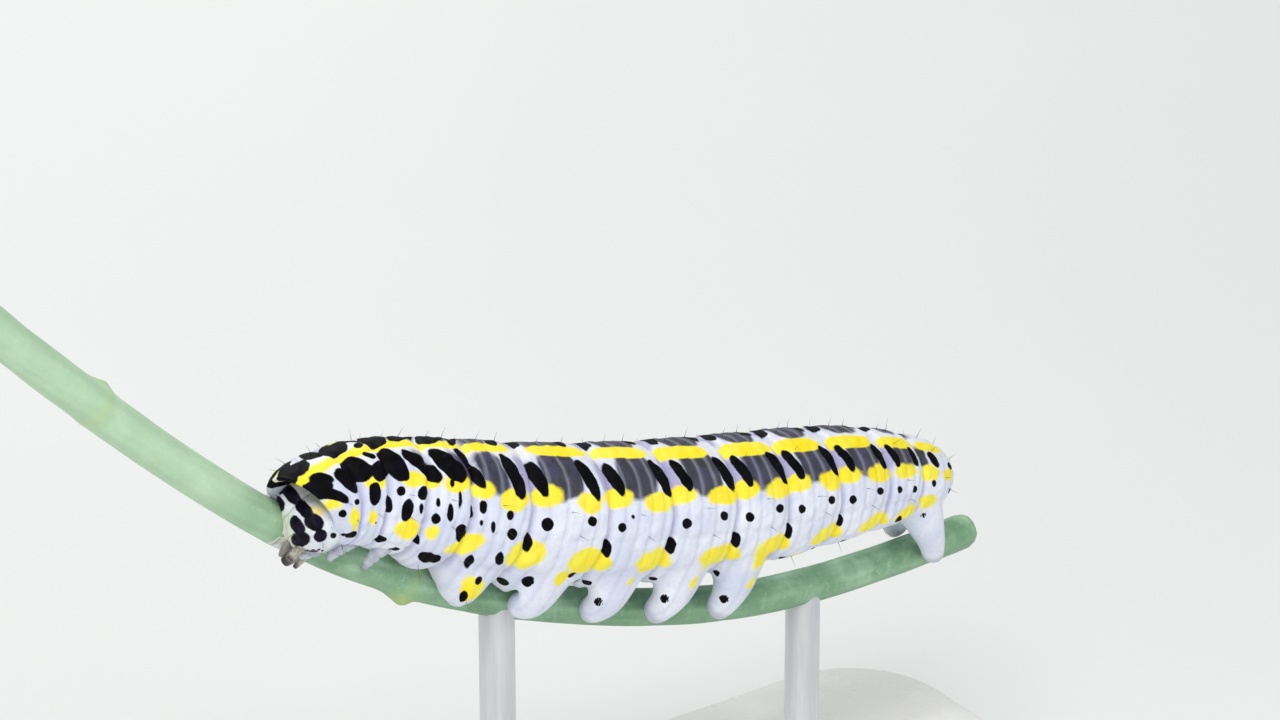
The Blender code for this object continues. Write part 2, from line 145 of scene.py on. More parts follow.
DEEP = smooth_line(MIDS, [r[4] for r in SEGMENTS], FINE, 0.7)


def end_taper(s):
    front = np.minimum(1.0, s / 1.1)
    front = 0.84 + 0.16 * np.sin(0.5 * math.pi * front) ** 0.8
    back = np.clip((BODY_LENGTH - s) / 2.3, 0.0, 1.0)
    back = np.sqrt(np.maximum(0.0, 1.0 - (1.0 - back) ** 2.3))
    return front * np.maximum(back, 0.30)


def section(s, theta, grow=0.0):
    """Points of the trunk; s and theta are arrays of one shape."""
    s, theta = np.broadcast_arrays(np.asarray(s, float), np.asarray(theta, float))
    point, along, dorsal, side = body.at(s)
    index = np.clip(np.searchsorted(EDGES, s, side="right") - 1, 0, len(SEGMENTS) - 1)
    u = np.clip((s - EDGES[index]) / LENGTHS[index], 0.0, 1.0)
    swell = (1.0 - WAIST * np.abs(2.0 * u - 1.0) ** 4) * end_taper(np.maximum(s, 0.0))
    a = np.interp(s, FINE, WIDE) * swell + grow
    up = np.interp(s, FINE, HIGH) * swell + grow
    down = np.interp(s, FINE, DEEP) * swell + grow
    c, n = np.cos(theta), np.sin(theta)
    high = np.where(c >= 0, up * c, -down * np.abs(c) ** 0.82)
    turn = np.abs(np.degrees(np.arctan2(n, c)))
    lobe = LOBE[index] * np.exp(-(((turn - LOBE_ANGLE) / 21.0) ** 2)) * np.sin(math.pi * u) ** 1.3
    lean = (HOOD * c - TURN * n) * np.maximum(0.0, 1.0 - s / HOOD_FADE) ** 1.5
    return (
        point + side * (a * n + lobe * n * 0.9)[..., None]
        + dorsal * (high + lobe * c)[..., None] - along * lean[..., None]
    )


def stem_radius(s):
    return STEM_RADIUS[0] + (STEM_RADIUS[1] - STEM_RADIUS[0]) * s / STEM_LENGTH


STEM_SPOTS = np.arange(1.0, STEM_LENGTH - 1.0, 0.1)
STEM_LINE = stem.at(STEM_SPOTS)[0]


def clear_of_stem(points, gap=0.03):
    """Pushes points that lie inside the stem out to its surface."""
    flat = points.reshape(-1, 3).copy()
    near = np.full(len(flat), 1e9)
    which = np.zeros(len(flat), int)
    for start in range(0, len(flat), 20000):
        block = flat[start:start + 20000]
        d = ((block[:, None, :] - STEM_LINE[None, ::4, :]) ** 2).sum(-1)
        k = d.argmin(1) * 4
        near[start:start + 20000] = np.sqrt(d.min(1))
        which[start:start + 20000] = k
    close = near < 2.0
    idx = np.nonzero(close)[0]
    for shift_round in range(1):
        p = flat[idx]
        best = which[idx]
        span = np.clip(best[:, None] + np.arange(-4, 5)[None, :], 0, len(STEM_LINE) - 1)
        d = ((p[:, None, :] - STEM_LINE[span]) ** 2).sum(-1)
        best = span[np.arange(len(idx)), d.argmin(1)]
        axis_point = STEM_LINE[best]
        axis_way = stem.at(STEM_SPOTS[best])[1]
        away = p - axis_point
        away -= axis_way * (away * axis_way).sum(-1, keepdims=True)
        r = np.linalg.norm(away, axis=-1, keepdims=True)
        want = stem_radius(STEM_SPOTS[best])[:, None] + gap
        # eased, so that the dent has a soft rim
        soft = 0.12
        x = (want - r) / soft
        push = np.where(x > 4.0, want - r, soft * np.log1p(np.exp(np.minimum(x, 4.0))) * (x > -4.0))
        push = np.where(x > 4.0, want - r, push - soft * np.log1p(np.exp(-4.0)))
        flat[idx] = p + away / np.maximum(r, 1e-6) * np.maximum(push, 0.0)
    return flat.reshape(points.shape)


head_along, head_up, head_left = (np.array(v) for v in axes_of(HEAD_YAW, HEAD_PITCH, HEAD_ROLL))
HEAD_AT = np.array(ANCHOR) + np.array(HEAD_SHIFT)


def head_point(lon, lat, grow=0.0):
    lon, lat = np.broadcast_arrays(np.asarray(lon, float), np.asarray(lat, float))
    dx, dy, dz = np.sin(lon) * np.cos(lat), np.cos(lon) * np.cos(lat), np.sin(lat)
    low, crown, rear = np.maximum(0.0, -dz), np.maximum(0.0, dz), np.maximum(0.0, -dy)
    x = dx * (HEAD_HALF[0] * (1.0 - 0.20 * low ** 1.5) + grow)
    y = dy * (HEAD_HALF[1] * (1.0 + 0.08 * low + 0.30 * rear) + grow)
    z = dz * (HEAD_HALF[2] + grow)
    cleft = np.exp(-((dx / 0.20) ** 2))
    shrink = 1.0 - 0.13 * cleft * crown - 0.05 * cleft * np.maximum(0.0, dy) * (1.0 - crown)
    shrink = shrink * (1.0 - 0.30 * rear * low)
    shrink = shrink * (1.0 + 0.05 * np.exp(-(((np.abs(dx) - 0.55) / 0.28) ** 2)) * (crown + 0.5 * np.maximum(0.0, dy)))
    return HEAD_AT + shrink[..., None] * (
        head_left * x[..., None] - head_along * y[..., None] + head_up * z[..., None]
    )


def head_frame(x, y, z):
    return HEAD_AT + head_left * x - head_along * y + head_up * z


# ------------------------------------------------------------- mesh helpers
def put(name, verts, faces, smooth=True):
    mesh = bpy.data.meshes.new(name)
    mesh.from_pydata((np.asarray(verts, float) * MM).tolist(), [], [tuple(int(i) for i in f) for f in faces])
    build = bmesh.new()
    build.from_mesh(mesh)
    bmesh.ops.recalc_face_normals(build, faces=build.faces)
    if build.calc_volume(signed=True) < 0:
        bmesh.ops.reverse_faces(build, faces=build.faces)
    build.to_mesh(mesh)
    build.free()
    if smooth:
        mesh.shade_smooth()
    obj = bpy.data.objects.new(name, mesh)
    bpy.context.scene.collection.objects.link(obj)
    return obj


def tube(rings, close=True):
    """Faces round a stack of rings; each end is closed by a fan."""
    rings = np.asarray(rings, float)
    rows, count = rings.shape[:2]
    verts = rings.reshape(-1, 3)
    i, j = np.meshgrid(np.arange(rows - 1), np.arange(count), indexing="ij")
    k = (j + 1) % count
    faces = np.stack([i * count + j, i * count + k, (i + 1) * count + k, (i + 1) * count + j], -1).reshape(-1, 4).tolist()
    if close:
        verts = np.vstack([verts, rings[0].mean(0), rings[-1].mean(0)])
        low, high = len(verts) - 2, len(verts) - 1
        last = (rows - 1) * count
        faces += [((jj + 1) % count, jj, low) for jj in range(count)]
        faces += [(last + jj, last + (jj + 1) % count, high) for jj in range(count)]
    return verts, faces


def attribute(obj, name, values):
    layer = obj.data.attributes.new(name, "FLOAT", "POINT")
    data = np.zeros(len(obj.data.vertices), np.float32)
    values = np.asarray(values, np.float32).ravel()
    data[: len(values)] = values
    if len(values) < len(data):
        data[len(values):] = values[-1]
    layer.data.foreach_set("value", data)


def bezier(points, t):
    level = [np.asarray(p, float)[None, :] * np.ones((len(t), 1)) for p in points]
    t = np.asarray(t)[:, None]
    while len(level) > 1:
        level = [(1.0 - t) * a + t * b for a, b in zip(level[:-1], level[1:])]
    return level[0]


def limb_rings(points, radius_at, rows, sides, flat=1.0):
    t = np.linspace(0.0, 1.0, rows)
    centre = bezier(points, t)
    way = bezier(points, np.minimum(1.0, t + 0.02)) - bezier(points, np.maximum(0.0, t - 0.02))
    way /= np.linalg.norm(way, axis=1, keepdims=True)
    turn = 2.0 * math.pi * np.arange(sides) / sides
    old = np.cross(way[0], np.array([0.31, 0.17, 0.93]))
    rings = []
    for k in range(rows):
        one = old - way[k] * np.dot(old, way[k])
        one /= np.linalg.norm(one)
        two = np.cross(way[k], one)
        old = one
        r = radius_at(t[k])
        rings.append(centre[k] + r * (np.cos(turn)[:, None] * one + flat * np.sin(turn)[:, None] * two))
    return np.array(rings)


# --------------------------------------------------------------- materials
def srgb(r, g, b):
    def lin(c):
        c /= 255.0
        return c / 12.92 if c <= 0.04045 else ((c + 0.055) / 1.055) ** 2.4
    return (lin(r), lin(g), lin(b), 1.0)


class Mat:
    """A small builder for node materials."""

    def __init__(self, name):
        self.mat = bpy.data.materials.new(name)
        self.mat.use_nodes = True
        self.tree = self.mat.node_tree
        self.shader = self.tree.nodes["Principled BSDF"]

    def node(self, kind, **sets):
        n = self.tree.nodes.new(kind)
        for key, value in sets.items():
            setattr(n, key, value)
        return n

    def link(self, a, b):
        self.tree.links.new(a, b)

    def attr(self, name):
        return self.node("ShaderNodeAttribute", attribute_name=name).outputs["Fac"]

    def math(self, op, a, b=None, clamp=False):
        n = self.node("ShaderNodeMath", operation=op, use_clamp=clamp)
        for k, v in enumerate((a, b)):
            if v is None:
                continue
            if isinstance(v, (int, float)):
                n.inputs[k].default_value = v
            else:
                self.link(v, n.inputs[k])
        return n.outputs[0]

    def noise(self, scale, detail=4.0, rough=0.55, distort=0.0, stretch=None):
        coords = self.node("ShaderNodeTexCoord").outputs["Object"]
        if stretch:
            m = self.node("ShaderNodeMapping")
            m.inputs["Scale"].default_value = stretch
            self.link(coords, m.inputs["Vector"])
            coords = m.outputs[0]
        n = self.node("ShaderNodeTexNoise")
        n.inputs["Scale"].default_value = scale
        n.inputs["Detail"].default_value = detail
        n.inputs["Roughness"].default_value = rough
        n.inputs["Distortion"].default_value = distort
        self.link(coords, n.inputs["Vector"])
        return n.outputs["Fac"]

    def ramp(self, value, low, high, smooth=True):
        n = self.node("ShaderNodeMapRange", interpolation_type="SMOOTHSTEP" if smooth else "LINEAR")
        n.inputs["From Min"].default_value = low
        n.inputs["From Max"].default_value = high
        self.link(value, n.inputs["Value"])
        return n.outputs[0]

    def mix(self, fac, a, b):
        n = self.node("ShaderNodeMix", data_type="RGBA")
        if isinstance(fac, (int, float)):
            n.inputs["Factor"].default_value = fac
        else:
            self.link(fac, n.inputs["Factor"])
        for socket, v in ((n.inputs[6], a), (n.inputs[7], b)):
            if isinstance(v, tuple):
                socket.default_value = v
            else:
                self.link(v, socket)
        return n.outputs[2]

    def bump(self, height, strength, distance):
        n = self.node("ShaderNodeBump")
        n.inputs["Strength"].default_value = strength
        n.inputs["Distance"].default_value = distance
        self.link(height, n.inputs["Height"])
        return n.outputs[0]

    def finish(self, colour=None, rough=None, normal=None, coat=0.0, sub=0.0, radius=0.0004, coat_rough=0.1):
        for name, v in (("Base Color", colour), ("Roughness", rough), ("Normal", normal)):
            if v is None:
                continue
            if isinstance(v, (int, float, tuple)):
                self.shader.inputs[name].default_value = v
            else:
                self.link(v, self.shader.inputs[name])
        self.shader.inputs["Coat Weight"].default_value = coat
        self.shader.inputs["Coat Roughness"].default_value = coat_rough
        if sub:
            self.shader.inputs["Subsurface Weight"].default_value = sub
            self.shader.inputs["Subsurface Radius"].default_value = (1.0, 0.75, 0.6)
            self.shader.inputs["Subsurface Scale"].default_value = radius
        return self.mat


# ------------------------------------------------------------- the markings
# segment number, u along it, theta, half length, half width, slant from the
# long way of the body (degrees); black, mirrored on the right side
BARS = (
    (0, 0.28, 15, 0.42, 0.22, 66), (0, 0.06, 25, 0.60, 0.26, 73), (0, 0.24, 41, 0.52, 0.21, 56),
    (0, 0.20, 24, 0.30, 0.22, 60), (0, 0.76, 31, 0.66, 0.34, 74),
    (1, 0.17, 22, 0.66, 0.54, 59), (1, 0.80, 30, 0.54, 0.40, -40), (1, 0.70, 10, 0.32, 0.18, 40),
    (2, 0.03, 20, 0.42, 0.15, 85), (2, 0.22, 24, 0.88, 0.47, 72), (2, 0.84, 26, 1.02, 0.37, 42),
    (3, 0.42, 23, 0.98, 0.50, 50), (3, 0.93, 24, 1.02, 0.28, 62),
    (4, 0.66, 29, 1.10, 0.36, 72), (5, 0.08, 29, 0.90, 0.31, 76),
    (5, 0.74, 30, 0.98, 0.34, 72), (6, 0.11, 29, 0.84, 0.29, 74),
    (6, 0.84, 29, 0.92, 0.33, 72), (7, 0.18, 28, 0.84, 0.28, 74),
    (7, 0.84, 29, 0.90, 0.32, 72), (8, 0.16, 28, 0.80, 0.27, 74),
    (8, 0.84, 29, 0.86, 0.31, 72), (9, 0.15, 28, 0.78, 0.26, 74),
    (9, 0.84, 29, 0.82, 0.30, 72), (10, 0.15, 28, 0.72, 0.26, 74),
    (10, 0.82, 29, 0.72, 0.28, 72), (11, 0.16, 28, 0.60, 0.24, 74),
    (11, 0.74, 30, 0.48, 0.24, 72), (12, 0.26, 32, 0.44, 0.28, 60),
)
SIDE_SPOTS = (
    (1, 0.43, 55, 0.47, 0.36, -79), (1, 0.94, 67, 0.44, 0.22, 73), (2, 0.25, 54, 0.25, 0.22, -28),
    (2, 0.81, 55, 0.35, 0.29, -30), (2, 0.80, 70, 0.27, 0.12, 71), (2, 0.46, 73, 0.48, 0.31, 86),
    (3, 0.17, 62, 0.20, 0.10, 79), (3, 0.20, 78, 0.25, 0.21, 44), (3, 0.48, 71, 0.46, 0.13, 73),
    (3, 0.63, 56, 0.38, 0.11, 83), (3, 0.44, 43, 0.19, 0.10, -84), (3, 0.97, 67, 0.32, 0.11, 69),
    (4, 0.13, 61, 0.28, 0.19, 78), (3, 0.87, 87, 0.38, 0.27, 50), (4, 0.15, 75, 0.13, 0.08, 68),
    (4, 0.36, 78, 0.24, 0.09, 69), (4, 0.59, 65, 0.21, 0.18, 55), (4, 0.70, 81, 0.26, 0.19, 49),
    (5, 0.18, 70, 0.30, 0.26, 50), (5, 0.02, 87, 0.39, 0.19, 67), (5, 0.74, 66, 0.24, 0.20, 22),
    (6, 0.16, 71, 0.23, 0.19, 41), (6, 0.03, 90, 0.36, 0.20, 61),
    (0, 0.73, 58, 0.14, 0.11, 5), (0, 0.16, 67, 0.20, 0.16, -58), (1, 0.55, 88, 0.09, 0.06, 24),
    (0, 0.12, 104, 0.18, 0.10, -60), (0, 0.47, 101, 0.46, 0.21, -18), (2, 0.09, 112, 0.38, 0.24, -48),
    (2, 0.66, 122, 0.32, 0.16, -17), (2, 1.00, 102, 0.26, 0.18, 38), (3, 0.54, 118, 0.56, 0.36, 5),
    (4, 0.24, 109, 0.36, 0.18, 72), (4, 0.67, 102, 0.34, 0.18, 54),
    (4, 0.45, 136, 0.18, 0.14, 55), (4, 0.55, 124, 0.19, 0.14, 40), (6, 0.30, 62, 0.10, 0.07, 40),
)
# round spots where the prolegs leave the trunk: segment, u, theta, radius
LEG_SPOTS = (
    (5, 0.08, 138, 0.30), (5, 0.27, 122, 0.29), (5, 0.93, 127, 0.22), (5, 0.74, 114, 0.19), (6, 0.10, 133, 0.22), (6, 0.30, 124, 0.24), (6, 0.86, 131, 0.22),
    (7, 0.12, 132, 0.20), (7, 0.30, 124, 0.23), (7, 0.86, 131, 0.21), (8, 0.12, 132, 0.20), (8, 0.30, 124, 0.22), (8, 0.86, 131, 0.20),
    (12, 0.20, 108, 0.16),
)
LEG_YELLOWS = ((5, 0.64, 111, 0.34), (6, 0.60, 112, 0.26), (7, 0.60, 112, 0.24), (8, 0.60, 112, 0.22))
# spots that each further abdominal segment repeats
REPEATED_SPOTS = (
    (0.16, 70, 0.25, 0.20, 45), (0.72, 66, 0.24, 0.19, 22), (0.02, 90, 0.34, 0.19, 62),
)
YELLOW_GROW = 1.14
for number in (7, 8, 9, 10):
    shrink = (1.0, 1.0, 0.95, 0.88)[number - 7]
    SIDE_SPOTS += tuple((number, u, t, a * shrink, b * shrink, p) for u, t, a, b, p in REPEATED_SPOTS)
SIDE_SPOTS += (
    (11, 0.20, 68, 0.22, 0.17, 40), (11, 0.66, 70, 0.20, 0.16, 30), (11, 0.45, 104, 0.26, 0.18, 40),
    (12, 0.20, 66, 0.20, 0.16, 30), (9, 0.30, 130, 0.26, 0.18, 50), (9, 0.84, 128, 0.24, 0.17, 50), (10, 0.5, 130, 0.26, 0.18, 50), (12, 0.66, 40, 0.22, 0.17, 20),
    (12, 0.70, 84, 0.18, 0.14, 20), (11, 0.5, 134, 0.26, 0.18, 30),
)
YELLOW_UPPER = (
    (0, 0.10, 50, 0.22, 0.13, 60), (1, 0.55, 41, 0.44, 0.28, -2), (2, 0.55, 41, 0.45, 0.26, -6), (2, 1.00, 42, 0.42, 0.25, -8),
    (3, 0.56, 43, 0.48, 0.30, -10), (4, 0.13, 46, 0.46, 0.33, -9), (4, 0.65, 52, 0.60, 0.36, -6),
    (5, 0.16, 46, 0.60, 0.37, -6), (5, 0.68, 50, 0.62, 0.34, -3), (6, 0.10, 46, 0.60, 0.34, 0),
    (6, 0.72, 50, 0.66, 0.34, 0), (7, 0.12, 46, 0.58, 0.34, 0), (7, 0.75, 49, 0.72, 0.34, 0),
    (8, 0.12, 46, 0.56, 0.33, 0), (8, 0.76, 49, 0.70, 0.33, 0), (9, 0.14, 46, 0.55, 0.33, 0),
    (9, 0.76, 49, 0.68, 0.33, 0), (10, 0.14, 46, 0.52, 0.31, 0), (10, 0.76, 48, 0.60, 0.31, 0),
    (11, 0.40, 48, 0.62, 0.28, 0), (12, 0.14, 50, 0.48, 0.26, 0), (12, 0.55, 54, 0.40, 0.22, 0),
)
YELLOW_LOWER = (
    (0, 0.57, 78, 0.50, 0.33, 88), (1, 0.37, 82, 0.40, 0.30, 60), (2, 0.61, 92, 0.58, 0.38, 7),
    (3, 0.24, 91, 0.30, 0.18, -3), (4, 0.02, 97, 0.76, 0.41, -22), (5, 0.04, 98, 0.90, 0.62, -9),
    (5, 0.86, 101, 1.05, 0.58, 6), (6, 0.84, 102, 1.05, 0.58, 6), (7, 0.84, 102, 1.05, 0.57, 6),
    (8, 0.82, 102, 0.98, 0.56, 6), (9, 0.82, 102, 0.98, 0.54, 6), (10, 0.78, 102, 0.90, 0.50, 4),
    (11, 0.62, 100, 0.70, 0.40, 0), (12, 0.20, 90, 0.46, 0.26, 0),
    (4, 0.53, 131, 0.60, 0.38, 20), (9, 0.60, 132, 0.50, 0.32, 20),
)
# along the back: distance s of the middle, half length, half width
BACK_STRIPE = (
    (0.30, 0.62, 0.27), (1.06, 0.60, 0.24), (1.72, 0.60, 0.23), (2.55, 0.85, 0.27), (3.75, 0.95, 0.30), (5.10, 1.00, 0.30),
    (6.40, 0.95, 0.31), (8.10, 1.20, 0.37), (11.80, 1.55, 0.44), (15.0, 1.45, 0.44),
    (18.2, 1.45, 0.44), (21.7, 1.45, 0.44), (24.6, 1.35, 0.42), (27.7, 1.35, 0.40), (30.6, 1.05, 0.36), (33.0, 0.90, 0.30),
)
STRIPE_DRIFT = ((0.0, 2.0), (2.0, 1.0), (3.4, -5.0), (8.0, -4.0), (12.0, -3.0), (16.0, 1.0), (20.0, 5.0), (26.0, 9.0), (31.0, 11.0), (35.0, 11.0))
# the smoky zone ahead of each pair of bars: segment, u, theta, half length, half width, slant
SMOKY = (
    (2, 0.98, 24, 0.60, 0.16, 60), (3, 0.70, 24, 0.90, 0.20, 60),
    (4, 0.30, 26, 1.12, 0.62, 76), (5, 0.40, 25, 1.20, 1.02, 84), (6, 0.47, 25, 1.18, 0.94, 86),
    (7, 0.50, 25, 1.16, 0.94, 87), (8, 0.50, 25, 1.14, 0.84, 87), (9, 0.50, 25, 1.10, 0.86, 87),
    (10, 0.48, 25, 1.02, 0.84, 87), (11, 0.45, 26, 0.86, 0.58, 87), (12, 0.02, 27, 0.60, 0.32, 87),
)
# the lilac band between the two bars of a pair
LILAC = (
    (3, 0.76, 24, 1.05, 0.16, 60), (4, 0.90, 28, 1.10, 0.34, 76), (5, 0.96, 28, 1.05, 0.34, 78), (7, 0.02, 28, 1.00, 0.34, 80),
    (8, 0.00, 28, 0.98, 0.32, 80), (9, 0.00, 28, 0.94, 0.32, 80), (10, 0.00, 28, 0.88, 0.30, 80), (11, 0.00, 28, 0.76, 0.28, 80),
)
# on its right side only
RIGHT_SPOTS = ((0, 0.10, 60, 0.46, 0.24, -74), (0, 0.55, 66, 0.22, 0.16, 20))


def local_radius(s):
    return 0.5 * (np.interp(s, FINE, WIDE) + np.interp(s, FINE, HIGH)) * end_taper(np.clip(s, 0.0, BODY_LENGTH))


def marking_field(rows, s, theta, power=2.3):
    """About how far inside the nearest marking a point is, in millimetres."""
    turn = np.abs(np.degrees(theta))
    best = np.full(s.shape, -1.0)
    around = local_radius(s)
    for segment, u, angle, a, b, slant in rows:
        dx = s - (EDGES[segment] + LENGTHS[segment] * u)
        near = np.abs(dx) < 3.0
        dy = np.radians(turn - angle) * around
        c, n = math.cos(math.radians(slant)), math.sin(math.radians(slant))
        x, y = (dx * c + dy * n) / a, (-dx * n + dy * c) / b
        level = (np.abs(x) ** power + np.abs(y) ** power + 1e-9) ** (1.0 / power)
        value = np.where(near, (1.0 - level) * b, -1.0)
        best = np.maximum(best, value)
    return best


# ------------------------------------------------------------------ the skin
STEP_S, SIDES = ((0.088, 208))
rows_s = np.arange(0.0, BODY_LENGTH - 0.02, STEP_S)
rows_s = np.append(rows_s, BODY_LENGTH - 1e-3)
angles = -math.pi + 2.0 * math.pi * (np.arange(SIDES) + 0.5) / SIDES
S, T = np.meshgrid(rows_s, angles, indexing="ij")
index = np.clip(np.searchsorted(EDGES, S, side="right") - 1, 0, len(SEGMENTS) - 1)
U_IN = (S - EDGES[index]) / LENGTHS[index]
DEG = np.abs(np.degrees(T))

black = np.maximum(marking_field(BARS, S, T), marking_field(SIDE_SPOTS, S, T, 2.1))
yellow = np.maximum(
    marking_field([r[:3] + (r[3] * YELLOW_GROW, r[4] * YELLOW_GROW) + r[5:] for r in YELLOW_UPPER], S, T, 2.0),
    marking_field(YELLOW_LOWER, S, T, 1.6),
)
drift = np.interp(S, [d[0] for d in STRIPE_DRIFT], [d[1] for d in STRIPE_DRIFT])
across = np.radians(np.degrees(T) - drift) * local_radius(S)
stripe = np.full(S.shape, -1.0)
for middle, half, width in BACK_STRIPE:
    level = np.sqrt(((S - middle) / half) ** 4 + (across / width) ** 2)
    stripe = np.maximum(stripe, (1.0 - level) * width)
pale_back = np.exp(-((across / 0.62) ** 4)) * (1.0 - 0.45 * np.clip((S - 8.0) / 4.0, 0.0, 1.0))
smoky = marking_field(SMOKY, S, T, 3.2)
lilac = marking_field(LILAC, S, T, 3.0)
black = np.maximum(black, np.where(T < 0.0, marking_field(RIGHT_SPOTS, S, T, 2.2), -1.0))
annulet = np.zeros(S.shape)

relief = np.zeros(S.shape)
# crease_shade: painted shade along the segment joints and annulet folds, mixed in below as a darker lilac-grey
crease_shade = np.zeros(S.shape)
for k, edge in enumerate(EDGES[1:-1]):
    wave = 0.10 * np.sin(3.0 * T + k) + 0.05 * np.sin(7.0 * T + 2.0 * k)
    depth = 0.13 if k < 3 else 0.17
    fold = np.exp(-(((S - edge - wave * 0.6) / 0.13) ** 2))
    crease_shade = np.maximum(crease_shade, fold)
    relief -= depth * fold
for number, row in enumerate(SEGMENTS):
    folds = {0: (0.5,), 1: (0.36, 0.70), 2: (0.30, 0.62), 12: (0.5,)}.get(number, (0.20, 0.42, 0.64, 0.84))
    for m, place in enumerate(folds):
        at = EDGES[number] + place * row[1] + 0.07 * np.sin(2.0 * T + m + number) + 0.04 * np.sin(5.0 * T - m)
        fold = np.exp(-(((S - at) / 0.085) ** 2))
        strength = 0.045 if number > 2 else 0.035
        strength = strength * (0.45 + 0.55 * np.clip((DEG - 8.0) / 30.0, 0.0, 1.0))
        relief -= strength * fold
        crease_shade = np.maximum(crease_shade, 0.42 * fold)
        annulet = np.maximum(annulet, np.exp(-(((S - at) / 0.075) ** 2)))
# the fold below the spiracles, broken at each joint, and the roll above it
along_wave = np.sin(math.pi * np.clip(U_IN, 0.0, 1.0))
trunk_part = np.clip((S - 2.0) / 2.5, 0.0, 1.0) * np.clip((BODY_LENGTH - 1.5 - S) / 2.0, 0.0, 1.0)
relief -= 0.075 * np.exp(-(((DEG - 116.0 + 2.5 * along_wave) / 3.6) ** 2)) * trunk_part
relief += 0.10 * np.exp(-(((DEG - 103.0) / 11.0) ** 2)) * trunk_part * (0.35 + 0.65 * along_wave)
relief -= 0.04 * np.exp(-(((DEG - 84.0) / 3.2) ** 2)) * trunk_part
# low bosses under the dark spots
relief += 0.012 * np.clip((marking_field(SIDE_SPOTS, S, T, 2.0) + 0.05) / 0.15, 0.0, 1.0)
relief += 0.004 * np.clip((marking_field(BARS, S, T) + 0.02) / 0.12, 0.0, 1.0)
# fine wrinkles
for q in range(9):
    fs, ft, ph = RNG.uniform(2.0, 7.5), RNG.integers(3, 26), RNG.uniform(0, 6.28)
    relief += 0.0042 * np.sin(fs * S * 1.6 + ft * T + ph)

P = section(S, T)
centre = body.at(S)[0]
du = np.gradient(P, axis=0)
dv = np.roll(P, -1, axis=1) - np.roll(P, 1, axis=1)
normal = np.cross(du, dv)
normal /= np.linalg.norm(normal, axis=-1, keepdims=True)
normal *= np.sign((normal * (P - centre)).sum(-1, keepdims=True))
fade_ends = np.clip(S / 0.35, 0.0, 1.0)
P = P + normal * (relief * fade_ends)[..., None]


# prolegs: discs of the skin drawn out along a curve down to the stem
def nearest_on_stem(point):
    return float(STEM_SPOTS[np.argmin(np.linalg.norm(STEM_LINE - point, axis=1))])


def below(s):
    middle, _, dorsal, side = (np.array(v) for v in body.at(s))
    place = nearest_on_stem(middle)
    point, along = (np.array(v) for v in stem.at(place)[:2])
    away = point - middle
    return place, point, along, middle, math.atan2(float(np.dot(away, side)), float(np.dot(away, dorsal)))


def grip(s, sign, turn, stand_off):
    place, point, along, middle, _ = below(s)
    up = middle - point
    up = up - along * np.dot(up, along)
    up /= np.linalg.norm(up)
    left = np.cross(along, up)
    if np.dot(left, np.array(body.at(s)[3])) < 0:
        left = -left
    t = math.radians(turn)
    return point + (stem_radius(place) + stand_off) * (math.cos(t) * up + sign * math.sin(t) * left), up, left


def flank(s, sign, spread, grow):
    return section(s, below(s)[4] - sign * math.radians(spread), grow)


def station(number, u):
    return float(EDGES[number] + LENGTHS[number] * u)


def draw_out(P, root_s, root_theta, middle, tip, base, end, tip_round):
    """Draws the skin round a root out into a leg; returns how far along it
    each point went, from 0 on the trunk to 1 at the sole."""
    root = section(root_s, root_theta)
    out = root - np.array(body.at(root_s)[0])
    out /= np.linalg.norm(out)
    way0 = middle - root
    way0 /= np.linalg.norm(way0)
    q = P - root
    height = (q * out).sum(-1, keepdims=True)
    flat = q - out * height
    r = np.linalg.norm(flat, axis=-1)
    tau = r / base
    near = (tau < 1.0) & (np.abs(height[..., 0]) < 1.5)
    t = np.where(tau < 0.30, 1.0, 1.0 - (tau - 0.30) / 0.70)
    t = np.clip(t, 0.0, 1.0)
    t_curve = t ** 0.9
    curve = bezier([root, middle, tip], t_curve[near])
    tangent = bezier([root, middle, tip], np.minimum(1.0, t_curve[near] + 0.01)) - bezier([root, middle, tip], np.maximum(0.0, t_curve[near] - 0.01))
    tangent /= np.linalg.norm(tangent, axis=-1, keepdims=True)
    unit = flat[near] / np.maximum(r[near], 1e-6)[:, None]
    # carries the spoke direction from the root's plane to the plane across the leg
    axis = np.cross(out[None, :], tangent)
    sine = np.linalg.norm(axis, axis=-1, keepdims=True)
    cosine = (tangent @ out)[:, None]
    axis = axis / np.maximum(sine, 1e-6)
    spoke = unit * cosine + np.cross(axis, unit) * sine + axis * (axis * unit).sum(-1, keepdims=True) * (1.0 - cosine)
    tt = t[near]
    girth = end + (base - end) * (1.0 - tt) ** 2.2
    girth = girth * (1.0 - 0.05 * np.exp(-(((tt - 0.40) / 0.05) ** 2)) - 0.07 * np.exp(-(((tt - 0.74) / 0.05) ** 2)))
    inner = np.clip(tau[near] / 0.30, 0.0, 1.0)
    cap = inner < 1.0
    girth = np.where(cap, end * np.sin(0.5 * math.pi * inner), girth)
    drop = np.where(cap, tip_round * np.cos(0.5 * math.pi * inner), 0.0)
    shape = curve + spoke * girth[:, None] + tangent * drop[:, None]
    rest = (P[near] - (root + flat[near])) * ((1.0 - tt) ** 2)[:, None]
    new = P.copy()
    blend = np.clip((1.0 - tau[near]) / 0.10, 0.0, 1.0)[:, None]
    blend = blend * blend * (3.0 - 2.0 * blend)
    new[near] = P[near] * (1.0 - blend) + (shape + rest) * blend
    reach = np.zeros(P.shape[:2])
    reach[near] = tt
    return new, reach


